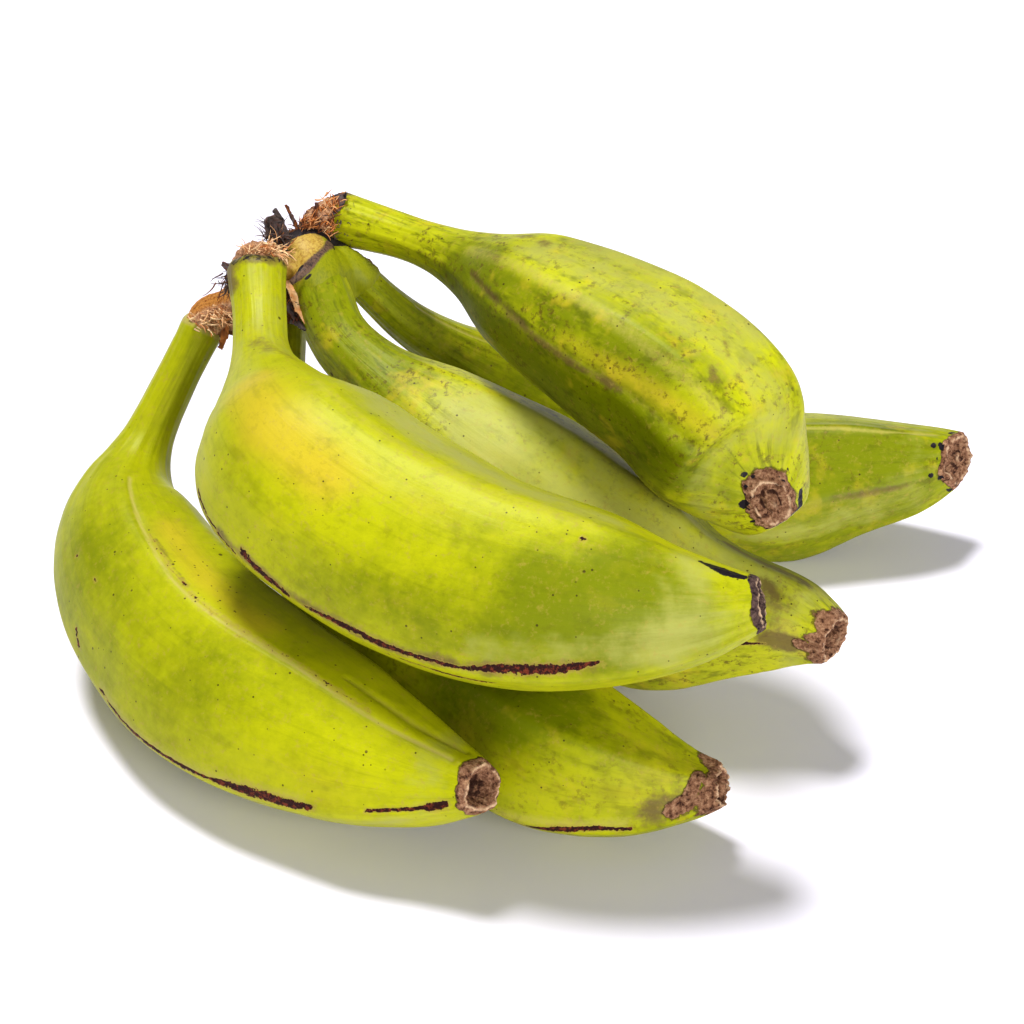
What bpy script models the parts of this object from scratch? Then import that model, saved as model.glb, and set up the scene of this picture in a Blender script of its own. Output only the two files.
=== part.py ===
"""A hand of six green cooking bananas, broken off with its crown and lying on its side.

Units are metres, +Z is up, and the hand rests on z = 0. The viewer looks along +Y.
Each finger is a loft along a curved spine, and the torn crown is one fused solid.
"""

import math
from dataclasses import dataclass

import bpy
import numpy as np

MM = 0.001

# The middle of the hand's box, in the frame of the lists below, in mm
HAND_CENTRE = (1.45, 0.5)

# How fine the lofts are
FINGER_STATIONS = 32
FINGER_AROUND = 30
STALK_STATIONS = 12
CROWN_AROUND = 14
COLLAR_STATIONS = 6
SPAN_STEPS = 20

# Fit between the crown and the stalks that grow from it
STALK_GAP = 0.4 * MM
COLLAR_REACH = 1.0 * MM
COLLAR_BEND = 0.55
COLLAR_SHARE = 0.84

# Share of a finger's length over which a slanted root straightens
SLANT_FADE = 0.12

# Rounding of the ridges, as turns of the section and what each counts for
RIDGE_BLUR = ((-9, 0.15), (-4.5, 0.22), (0, 0.26), (4.5, 0.22), (9, 0.15))

# How flat the faces between the ridges are, from the stalk (0) to the tip (1)
FLATNESS = ((0, 0.25), (0.2, 0.35), (0.45, 0.6), (0.8, 0.85), (1, 0.8))

# A face wider than twice this many degrees bulges instead of staying flat
FLAT_FACE_HALF = 36

# Blossom end: distance past the last key, and share of its radius
BLOSSOM_END = (
    (0.7 * MM, 0.88),
    (0.4 * MM, 0.66),
    (-0.6 * MM, 0.46),
    (-0.5 * MM, 0.34),
    (1.1 * MM, 0.26),
    (1.7 * MM, 0.12),
)


@dataclass(frozen=True)
class Finger:
    """One banana: keys are (x, y, z, radius) in mm, ridges and root_slant are in degrees."""

    name: str
    keys: tuple
    ridges: tuple
    colour: tuple
    root_slant: float = 0.0


FINGERS = (
    Finger(
        name="finger_left",
        keys=(
            (-69, 47, 61, 4.8),
            (-76, 40, 49, 4.9),
            (-82, 32, 38.5, 6.4),
            (-85, 25, 33, 11),
            (-84, 15, 28, 16.2),
            (-78, 0, 22.7, 19.3),
            (-61, -26, 20, 20.8),
            (-38, -47, 20.7, 17.6),
            (-17, -61.5, 22.8, 10.6),
            (-7.5, -70, 27, 5.2),
        ),
        ridges=(-13, 78, 124, 185, 250),
        colour=(0.40, 0.50, 0.05),
    ),
    Finger(
        name="finger_front_top",
        keys=(
            (-55.5, 38, 81.5, 6.4),
            (-54.5, 27, 76, 5.6),
            (-53.5, 15, 72.5, 6.4),
            (-50, 1, 70.5, 12.6),
            (-45.3, -14.5, 67.8, 21),
            (-30.5, -29, 62.8, 22.2),
            (-8.5, -44, 59.4, 21.1),
            (15, -53, 59.6, 18.2),
            (34, -57, 61, 11.5),
            (47, -58, 63.5, 5.6),
        ),
        ridges=(-13, 90, 152, 245),
        colour=(0.47, 0.52, 0.06),
        root_slant=12,
    ),
    Finger(
        name="finger_front_low",
        keys=(
            (-51.5, 57, 55.5, 4.8),
            (-51.5, 43, 46, 5.4),
            (-49.5, 28, 35.5, 8.6),
            (-40, 10, 26, 13.2),
            (-24, -10, 18.5, 15),
            (-6, -30, 16, 16.2),
            (9, -46, 16, 16.9),
            (24, -52, 15, 12.8),
            (34.5, -54.5, 14.6, 8.2),
            (41, -56, 16, 5),
        ),
        ridges=(-16, 55, 120, 190, 265),
        colour=(0.38, 0.47, 0.05),
    ),
    Finger(
        name="finger_middle",
        keys=(
            (-45, 48, 76.5, 6),
            (-42.5, 44, 71.5, 6.5),
            (-39, 37, 65.5, 6.7),
            (-30, 29, 60, 8.2),
            (-18, 20.5, 52.5, 15),
            (-2.5, 10.5, 43.5, 20.4),
            (15, 0, 34.9, 21.3),
            (31.5, -9, 29.3, 19),
            (46, -14, 29, 13.2),
            (58, -19, 30, 9.2),
            (65.7, -24.5, 29.8, 5.5),
        ),
        ridges=(25, 95, 160, 230, 310),
        colour=(0.36, 0.45, 0.06),
    ),
    Finger(
        name="finger_back_top",
        keys=(
            (-39, 61.5, 80.5, 5.8),
            (-21, 50, 81, 5),
            (-8, 37.5, 82, 8),
            (3.5, 25, 82, 14.2),
            (18.9, 12, 79.4, 17.6),
            (33.7, 1.3, 74.6, 19.4),
            (41.8, -6.2, 68.8, 19.8),
            (46.8, -10.8, 64.2, 16.6),
            (52, -17.6, 59.6, 5.8),
        ),
        ridges=(22, 57, 118, 190, 270),
        colour=(0.38, 0.46, 0.06),
    ),
    Finger(
        name="finger_back",
        keys=(
            (-35.5, 51.5, 72.5, 3.8),
            (-25, 52, 60.5, 4.6),
            (-13, 55.5, 49, 6.8),
            (1, 58, 38, 12),
            (18, 58, 28.5, 16.8),
            (37, 57.5, 22.2, 18.2),
            (56, 54.5, 14.8, 17.6),
            (75, 53.5, 18, 13.2),
            (92, 52, 21, 9.2),
            (101, 51.5, 23.4, 6),
        ),
        ridges=(11, 79, 145, 215, 300),
        colour=(0.38, 0.48, 0.06),
    ),
)

# The crown is a curved pad that the stalks grow from: (x, y, z, radius) in mm
CROWN_PAD = (
    (-66, 48, 62, 3.5),
    (-61, 47.5, 66, 5.2),
    (-55, 48.5, 71, 6.2),
    (-49, 50.5, 74.5, 6),
    (-44, 53.5, 75, 5.4),
    (-41.5, 58.5, 76, 4.4),
)

# Where each stalk's collar leaves the pad, and its radius there, in mm
COLLAR_ROOTS = {
    "finger_left": (-66, 48, 64, 3.8),
    "finger_front_top": (-55, 48, 74, 4.6),
    "finger_front_low": (-51, 52, 72, 5.6),
    "finger_middle": (-48, 52.5, 76, 5.2),
    "finger_back_top": (-45, 57, 77, 3.6),
    "finger_back": (-42, 52.5, 74.5, 4.6),
}

# Dried scraps of torn skin: (x, y, z, half width) in mm, from root to tip
SCRAPS = (
    ((-51, 50, 76, 3), (-52, 50, 81, 2.6), (-54.3, 50, 85, 2.4), (-52.5, 51, 87.5, 1.4)),
    ((-44.5, 54, 76, 2.6), (-44.5, 54, 80, 1.8), (-43.8, 55.5, 83.5, 0.6)),
    ((-47.3, 53, 77, 2.2), (-48, 53, 82, 1.2), (-49.6, 54, 86, 0.6)),
    ((-41, 57, 76, 2.8), (-40.5, 57, 80, 2), (-41, 57.5, 83.5, 0.8)),
    ((-51, 47.5, 75, 2.6), (-50, 43, 71, 2.6), (-48.5, 38, 66.5, 1.6)),
)
SCRAP_THICKNESS = 0.5
CROWN_COLOUR = (0.24, 0.15, 0.06)


def clear_scene():
    """Removes whatever the open file holds."""
    for item in list(bpy.data.objects):
        bpy.data.objects.remove(item, do_unlink=True)


def new_collection(name, hidden=False):
    """A collection linked to the scene."""
    group = bpy.data.collections.new(name)
    group.hide_render = hidden
    bpy.context.scene.collection.children.link(group)
    return group


def plain_material(name, colour, roughness):
    """A Principled material with one colour and no metal."""
    material = bpy.data.materials.new(name)
    material.use_nodes = True
    shader = material.node_tree.nodes["Principled BSDF"]
    shader.inputs["Base Color"].default_value = (*colour, 1)
    shader.inputs["Roughness"].default_value = roughness
    shader.inputs["Metallic"].default_value = 0
    return material


def blend(a, b, start, end, t):
    """The point at t on the line from a (at start) to b (at end)."""
    return a + (b - a) * (t - start) / (end - start)


def even_curve(keys, count):
    """count (x, y, z, radius) rows, evenly spaced on a smooth curve through the keys."""
    rows = np.asarray(keys, float) * MM
    rows[:, :2] -= np.array(HAND_CENTRE) * MM
    rows = np.vstack([2 * rows[0] - rows[1], rows, 2 * rows[-1] - rows[-2]])
    fine = []
    for p0, p1, p2, p3 in zip(rows, rows[1:], rows[2:], rows[3:]):
        t1 = np.linalg.norm((p1 - p0)[:3]) ** 0.5
        t2 = t1 + np.linalg.norm((p2 - p1)[:3]) ** 0.5
        t3 = t2 + np.linalg.norm((p3 - p2)[:3]) ** 0.5
        for t in np.linspace(t1, t2, SPAN_STEPS, endpoint=False):
            a1 = blend(p0, p1, 0, t1, t)
            a2 = blend(p1, p2, t1, t2, t)
            a3 = blend(p2, p3, t2, t3, t)
            b1 = blend(a1, a2, 0, t2, t)
            b2 = blend(a2, a3, t1, t3, t)
            fine.append(blend(b1, b2, t1, t2, t))
    fine = np.array([*fine, rows[-2]])
    steps = np.linalg.norm(np.diff(fine[:, :3], axis=0), axis=1)
    run = np.concatenate([[0], np.cumsum(steps)])
    places = np.linspace(0, run[-1], count)
    return np.stack([np.interp(places, run, column) for column in fine.T], axis=1)


def carry(up, tangent):
    """The up vector turned as little as it takes to stand square on the tangent."""
    turned = up - (up @ tangent) * tangent
    return turned / np.linalg.norm(turned)


def level_frames(points):
    """Tangent, side and up at each point, with up vertical just past the middle."""
    tangent = np.gradient(points, axis=0)
    tangent /= np.linalg.norm(tangent, axis=1)[:, None]
    up = np.zeros_like(points)
    level = int(0.55 * len(points))
    up[level] = carry(np.array([0, 0, 1.0]), tangent[level])
    for i in range(level + 1, len(points)):
        up[i] = carry(up[i - 1], tangent[i])
    for i in range(level - 1, -1, -1):
        up[i] = carry(up[i + 1], tangent[i])
    return tangent, np.cross(tangent, up), up


def ridged_section(angles, ridges, flatness):
    """Radius share at each angle: most on a ridge, and less on the face between two."""
    corners = np.radians(sorted(ridge % 360 for ridge in ridges))
    corners = np.concatenate([[corners[-1] - math.tau], corners, [corners[0] + math.tau]])
    share = 0
    for turn, weight in RIDGE_BLUR:
        angle = (angles + math.radians(turn)) % math.tau
        after = np.searchsorted(corners, angle, side="right")
        half = (corners[after] - corners[after - 1]) / 2
        chord = np.cos(half) / np.cos(angle - corners[after - 1] - half)
        bulge = np.minimum(1, math.radians(FLAT_FACE_HALF) / half) ** 2
        share = share + weight * (1 - flatness * (1 - chord) * bulge)
    return share / share.mean(axis=1)[:, None]


def section_ring(radius, angles, side, up, squash=1.0):
    """Offsets from the spine to the points of one or more rings."""
    across = (radius * np.cos(angles))[..., None] * side[:, None]
    upward = (radius * np.sin(angles) * squash)[..., None] * up[:, None]
    return across + upward


def finger_rings(finger, grow=0.0, lead=0.0):
    """Rings of points along a finger; grow adds to its radius and lead to its root end."""
    rows = even_curve(finger.keys, FINGER_STATIONS)
    line = rows[:, :3]
    line[1:-1] = (line[:-2] + 2 * line[1:-1] + line[2:]) / 4
    tangent, side, up = level_frames(line)
    line[0] -= lead * tangent[0]
    angles = np.linspace(0, math.tau, FINGER_AROUND, endpoint=False)
    shares = np.linspace(0, 1, FINGER_STATIONS)
    flatness = np.interp(shares, *zip(*FLATNESS))[:, None]
    radius = (rows[:, 3:] + grow) * ridged_section(angles, finger.ridges, flatness)
    rings = line[:, None] + section_ring(radius, angles, side, up)
    fade = np.maximum(0, 1 - shares / SLANT_FADE)[:, None]
    slide = radius * np.sin(angles) * fade * math.tan(math.radians(finger.root_slant))
    rings += slide[..., None] * tangent[:, None]
    end = []
    for past, share in BLOSSOM_END:
        end.append(line[-1] + (rings[-1] - line[-1]) * share + tangent[-1] * past)
    rings = np.concatenate([rings, end])
    rings[..., 2] = np.maximum(rings[..., 2], 0)
    return rings


def limb_rings(keys, stations, around, squash=1.0):
    """Rings of points along a plain limb, round or flattened by squash."""
    rows = even_curve(keys, stations)
    line = rows[:, :3]
    _, side, up = level_frames(line)
    angles = np.linspace(0, math.tau, around, endpoint=False)
    return line[:, None] + section_ring(rows[:, 3:], angles, side, up, squash)


def collar_rings(finger):
    """Rings from the pad to a little past the stalk's root, where the cutter trims them."""
    root = finger_rings(finger)[0, ::2]
    start = np.array(COLLAR_ROOTS[finger.name]) * MM
    start[:2] -= np.array(HAND_CENTRE) * MM
    spokes = (root - root.mean(axis=0)) * COLLAR_SHARE
    even_spokes = spokes / np.linalg.norm(spokes, axis=1)[:, None] * start[3]
    away = np.cross(spokes[0], spokes[len(spokes) // 4])
    away /= np.linalg.norm(away)
    mouth = root.mean(axis=0) - away * COLLAR_REACH
    control = mouth + away * ((start[:3] - mouth) @ away) * COLLAR_BEND
    rings = []
    for t in np.linspace(0, 1, COLLAR_STATIONS):
        centre = (1 - t) ** 2 * start[:3] + 2 * t * (1 - t) * control + t**2 * mouth
        rings.append(centre + (1 - t) * even_spokes + t * spokes)
    return np.array(rings)


def loft(name, rings, group):
    """A closed mesh object through the rings, with a flat cap on each end."""
    count, around, _ = rings.shape
    faces = []
    for ring in range(count - 1):
        for side in range(around):
            near = ring * around + side
            far = ring * around + (side + 1) % around
            faces.append((near, near + around, far + around, far))
    faces.append(tuple(range(around)))
    faces.append(tuple(range(count * around - 1, (count - 1) * around - 1, -1)))
    mesh = bpy.data.meshes.new(name)
    mesh.from_pydata(rings.reshape(-1, 3).tolist(), [], faces)
    mesh.shade_smooth()
    mesh.set_sharp_from_angle(angle=math.radians(35))
    item = bpy.data.objects.new(name, mesh)
    group.objects.link(item)
    return item


def build_finger(finger, group):
    """One banana, from the end of its stalk to its dry blossom end."""
    item = loft(finger.name, finger_rings(finger), group)
    item.data.materials.append(plain_material(finger.name, finger.colour, 0.5))
    return item


def build_stalk_cutter(finger, group):
    """The stalk's own shape with a gap all round, to cut its socket in the crown."""
    rings = finger_rings(finger, grow=STALK_GAP, lead=STALK_GAP)[:STALK_STATIONS]
    cutter = loft(f"cut_{finger.name}", rings, group)
    cutter.hide_render = True
    cutter.display_type = "WIRE"
    return cutter


def add_boolean(item, operation, group):
    """A Boolean of the item with every object of a collection."""
    modifier = item.modifiers.new(operation.lower(), "BOOLEAN")
    modifier.operation = operation
    modifier.operand_type = "COLLECTION"
    modifier.collection = group
    return modifier


def build_crown(group, cutters):
    """The torn pad with its collars and scraps, fused, and cut clear of the stalks."""
    crown = loft("crown", limb_rings(CROWN_PAD, 14, CROWN_AROUND), group)
    limbs = new_collection("crown_limbs", hidden=True)
    for finger in FINGERS:
        loft(f"collar_{finger.name}", collar_rings(finger), limbs)
    for index, scrap in enumerate(SCRAPS):
        loft(f"scrap_{index}", limb_rings(scrap, 7, 8, SCRAP_THICKNESS), limbs)
    add_boolean(crown, "UNION", limbs)
    add_boolean(crown, "DIFFERENCE", cutters)
    shaped = crown.evaluated_get(bpy.context.evaluated_depsgraph_get())
    mesh = bpy.data.meshes.new_from_object(shaped)
    crown.modifiers.clear()
    crown.data = mesh
    crown.data.materials.clear()
    crown.data.materials.append(plain_material("crown", CROWN_COLOUR, 0.8))
    for limb in list(limbs.objects):
        bpy.data.objects.remove(limb, do_unlink=True)
    bpy.data.collections.remove(limbs)
    return crown


def main():
    clear_scene()
    hand = new_collection("banana_hand")
    cutters = new_collection("cutters", hidden=True)
    for finger in FINGERS:
        build_finger(finger, hand)
        build_stalk_cutter(finger, cutters)
    build_crown(hand, cutters)


main()
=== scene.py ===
"""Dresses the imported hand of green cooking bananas.

The six fingers and the torn crown are rebuilt as fine meshes where the plain solids lie, with
the ridges, scabs, corky ends and torn fibres that a closer look shows. Names that end in _mm
hold millimetres and the rest hold metres, both in the frame of the solids.
"""

import logging
import math
from dataclasses import dataclass, field
from enum import Enum

import bpy
import numpy as np
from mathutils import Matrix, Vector, noise


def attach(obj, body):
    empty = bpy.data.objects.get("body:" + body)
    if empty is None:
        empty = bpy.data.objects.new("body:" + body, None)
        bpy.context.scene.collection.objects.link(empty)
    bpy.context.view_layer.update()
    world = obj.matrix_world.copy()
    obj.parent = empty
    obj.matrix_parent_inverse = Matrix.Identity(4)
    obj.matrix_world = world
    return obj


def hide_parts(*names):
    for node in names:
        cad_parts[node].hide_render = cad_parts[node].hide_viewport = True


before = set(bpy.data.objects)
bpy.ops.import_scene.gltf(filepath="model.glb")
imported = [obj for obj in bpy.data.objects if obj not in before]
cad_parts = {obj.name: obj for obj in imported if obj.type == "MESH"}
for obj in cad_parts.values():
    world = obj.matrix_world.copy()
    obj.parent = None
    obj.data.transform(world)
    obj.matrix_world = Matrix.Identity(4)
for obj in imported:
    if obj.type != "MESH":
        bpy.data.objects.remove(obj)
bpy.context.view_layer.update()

LOG = logging.getLogger("banana_hand")
BODY = "root"
MM = 0.001

# The middle of the hand's box, in the frame of the key lists below
HAND_CENTRE_MM = (1.45, 0.5, 0.0)

Array = np.ndarray
Paint = tuple[int, int, int]
Socket = bpy.types.NodeSocket
Keys = tuple[tuple[float, ...], ...]


def linear(paint: Paint) -> tuple[float, float, float, float]:
    """Turns a screen colour of 0 to 255 into the linear colour that shaders take.

    Args:
        paint: Red, green and blue as a screen shows them.

    Returns:
        The linear colour with full alpha.
    """
    shares = [channel / 255 for channel in paint]
    return (*((s / 12.92 if s < 0.04 else ((s + 0.055) / 1.055) ** 2.4) for s in shares), 1.0)


def placed(keys_mm: Keys) -> Array:
    """Moves key rows into the frame of the solids.

    Args:
        keys_mm: Rows that start with x, y, z in the frame of the key lists.

    Returns:
        The rows in metres, with any further columns scaled too.
    """
    rows = np.array(keys_mm, float)
    rows[:, :3] -= HAND_CENTRE_MM
    return rows * MM


def resample(rows: Array, shares: Array) -> Array:
    """Reads evenly spaced rows at shares of their run, on a smooth curve through all of them.

    Args:
        rows: Points, with any further columns such as a radius.
        shares: Places from 0 at the first row to 1 at the last.

    Returns:
        One row for each share.
    """
    padded = np.vstack([2 * rows[0] - rows[1], rows, 2 * rows[-1] - rows[-2]])
    place = np.clip(shares, 0, 1) * (len(rows) - 1)
    span = np.minimum(place.astype(int), len(rows) - 2)
    t = (place - span)[:, None]
    before, start, end, after = (padded[span + step] for step in range(4))
    return 0.5 * (
        2 * start
        + (end - before) * t
        + (2 * before - 5 * start + 4 * end - after) * t**2
        + (3 * start - before - 3 * end + after) * t**3
    )


def even_rows(rows: Array, count: int) -> Array:
    """Spreads count rows evenly on a smooth curve through uneven keys.

    Args:
        rows: Key rows of x, y, z and a radius.
        count: How many rows to give back.

    Returns:
        The even rows.
    """
    rows = np.vstack([2 * rows[0] - rows[1], rows, 2 * rows[-1] - rows[-2]])
    fine = []
    for p0, p1, p2, p3 in zip(rows, rows[1:], rows[2:], rows[3:]):
        t1 = np.linalg.norm((p1 - p0)[:3]) ** 0.5
        t2 = t1 + np.linalg.norm((p2 - p1)[:3]) ** 0.5
        t3 = t2 + np.linalg.norm((p3 - p2)[:3]) ** 0.5
        for t in np.linspace(t1, t2, 20, endpoint=False):
            a1 = p0 + (p1 - p0) * t / t1
            a2 = p1 + (p2 - p1) * (t - t1) / (t2 - t1)
            a3 = p2 + (p3 - p2) * (t - t2) / (t3 - t2)
            b1 = a1 + (a2 - a1) * t / t2
            b2 = a2 + (a3 - a2) * (t - t1) / (t3 - t1)
            fine.append(b1 + (b2 - b1) * (t - t1) / (t2 - t1))
    fine = np.array([*fine, rows[-2]])
    steps = np.linalg.norm(np.diff(fine[:, :3], axis=0), axis=1)
    run = np.concatenate([[0], np.cumsum(steps)])
    places = np.linspace(0, run[-1], count)
    return np.stack([np.interp(places, run, column) for column in fine.T], axis=1)


def grain(points: Array, size_mm: float, seed: float, octaves: int = 3) -> Array:
    """Gives smooth noise from about -1 to 1 at each point, the same on every run.

    Args:
        points: Points in metres, with x, y, z in the last axis.
        size_mm: The width of the broadest lumps.
        seed: Moves the sample, so that two pieces don't share a pattern.
        octaves: How many finer layers are added.

    Returns:
        One value for each point, in the shape of the points.
    """
    flat = points.reshape(-1, 3) / (size_mm * MM) + (seed, 2 * seed, 3 * seed)
    values = [noise.fractal(Vector(p), 1.0, 2.0, octaves) for p in flat]
    return np.array(values).reshape(points.shape[:-1])


def unit(vectors: Array) -> Array:
    """The vectors scaled to a length of 1."""
    return vectors / np.linalg.norm(vectors, axis=-1, keepdims=True)


class Spine:
    """A curved centre line with a radius and a frame at every station."""

    COARSE_ROWS = 32
    LEVEL_SHARE = 0.55

    def __init__(self, keys_mm: Keys, shares: Array, soften: bool = True) -> None:
        """Runs a smooth line through the keys.

        Args:
            keys_mm: x, y, z and radius, from root to tip.
            shares: The stations, from 0 at the root to 1 at the tip.
            soften: Whether the line's own kinks are eased, as on a finger.
        """
        rows = even_rows(placed(keys_mm), self.COARSE_ROWS)
        if soften:
            line = rows[:, :3].copy()
            rows[1:-1, :3] = (line[:-2] + 2 * line[1:-1] + line[2:]) / 4
        rows = resample(rows, shares)
        self.shares = shares
        self.line = rows[:, :3]
        self.radius = rows[:, 3]
        steps = np.linalg.norm(np.diff(self.line, axis=0), axis=1)
        self.run = np.concatenate([[0], np.cumsum(steps)])
        self.tangent = unit(np.gradient(self.line, shares, axis=0))
        self.up = self._level_up()
        self.side = np.cross(self.tangent, self.up)

    def _level_up(self) -> Array:
        """Up vectors that are vertical just past the middle and turn as little as they can."""
        up = np.zeros_like(self.line)
        level = int(np.searchsorted(self.shares, self.LEVEL_SHARE))
        up[level] = self._squared(np.array([0, 0, 1.0]), level)
        for station in range(level + 1, len(up)):
            up[station] = self._squared(up[station - 1], station)
        for station in range(level - 1, -1, -1):
            up[station] = self._squared(up[station + 1], station)
        return up

    def _squared(self, up: Array, station: int) -> Array:
        """The vector turned as little as it takes to stand square on the line."""
        tangent = self.tangent[station]
        return unit(up - (up @ tangent) * tangent)

    def offsets(self, radius: Array, angles: Array) -> Array:
        """Steps from the line to points at each angle, for one radius per point."""
        across = (radius * np.cos(angles))[..., None] * self.side[:, None]
        upward = (radius * np.sin(angles))[..., None] * self.up[:, None]
        return across + upward


class Layer(Enum):
    """What a mark paints on a piece. Each value names the mesh attribute that carries it."""

    # Pale cut tissue at the root, and pale ridge lines that are painted highlights
    PALE_CUT_AND_HIGHLIGHT = "pale_cut_and_highlight"
    SCAB = "scab"
    BLUSH = "blush"
    # Dark green peel, which marks also lay as painted shade on shaded faces
    LEAF_AND_SHADE = "leaf_and_shade"
    # Pale waxy film, which on some upper faces is painted sheen
    BLOOM_AND_SHEEN = "bloom_and_sheen"
    BRUISE = "bruise"
    SPECKS = "specks"
    CORK = "cork"
    CHAR = "char"
    PALE = "pale"
    PIT = "pit"
    GREEN = "green"
    TAN = "tan"
    ORANGE = "orange"
    BARK = "bark"
    RUST = "rust"
    FIBRE = "fibre"


PEEL_LAYERS = (
    Layer.PALE_CUT_AND_HIGHLIGHT,
    Layer.SCAB,
    Layer.BLUSH,
    Layer.LEAF_AND_SHADE,
    Layer.BLOOM_AND_SHEEN,
    Layer.BRUISE,
    Layer.SPECKS,
    Layer.CORK,
    Layer.CHAR,
    Layer.PALE,
    Layer.PIT,
)
CROWN_LAYERS = (
    Layer.GREEN,
    Layer.TAN,
    Layer.ORANGE,
    Layer.BARK,
    Layer.RUST,
    Layer.FIBRE,
    Layer.CHAR,
)


@dataclass(frozen=True)
class Mark:
    """A soft stroke on a surface.

    On a finger its route is (share along, degrees round) points, and on the crown (x, y, z)
    points in mm. The relief raises the stroke, and its ends are `taper` times as wide as its
    middle.
    """

    layer: Layer
    width_mm: float
    strength: float
    route: Keys
    relief_mm: float = 0.0
    taper: float = 1.0

    STEPS = 25

    def line(self) -> Array:
        """The route as closely spaced rows."""
        rows = np.array(self.route, float)
        if len(rows) == 1:
            return rows
        return resample(rows, np.linspace(0, 1, self.STEPS + 1))

    def fall(self, points: Array, line: Array) -> Array:
        """How strongly the stroke shows at each point, from 0 to 1.

        Args:
            points: Surface points in metres.
            line: The stroke's own line in metres.

        Returns:
            One value for each point, in the shape of the points.
        """
        flat = points.reshape(-1, 3)
        if len(line) == 1:
            line = np.vstack([line, line])
        gap = np.full(len(flat), np.inf)
        along = np.zeros(len(flat))
        for index, (start, end) in enumerate(zip(line, line[1:])):
            way = end - start
            reach = np.clip((flat - start) @ way / max(way @ way, 1e-12), 0, 1)
            distance = np.linalg.norm(flat - start - reach[:, None] * way, axis=1)
            closer = distance < gap
            gap[closer] = distance[closer]
            along[closer] = (index + reach[closer]) / (len(line) - 1)
        taper = self.taper + (1 - self.taper) * np.sin(math.pi * np.clip(along, 0.02, 0.98))
        width = self.width_mm * MM * taper
        return np.exp(-((gap / width) ** 2)).reshape(points.shape[:-1])


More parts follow.
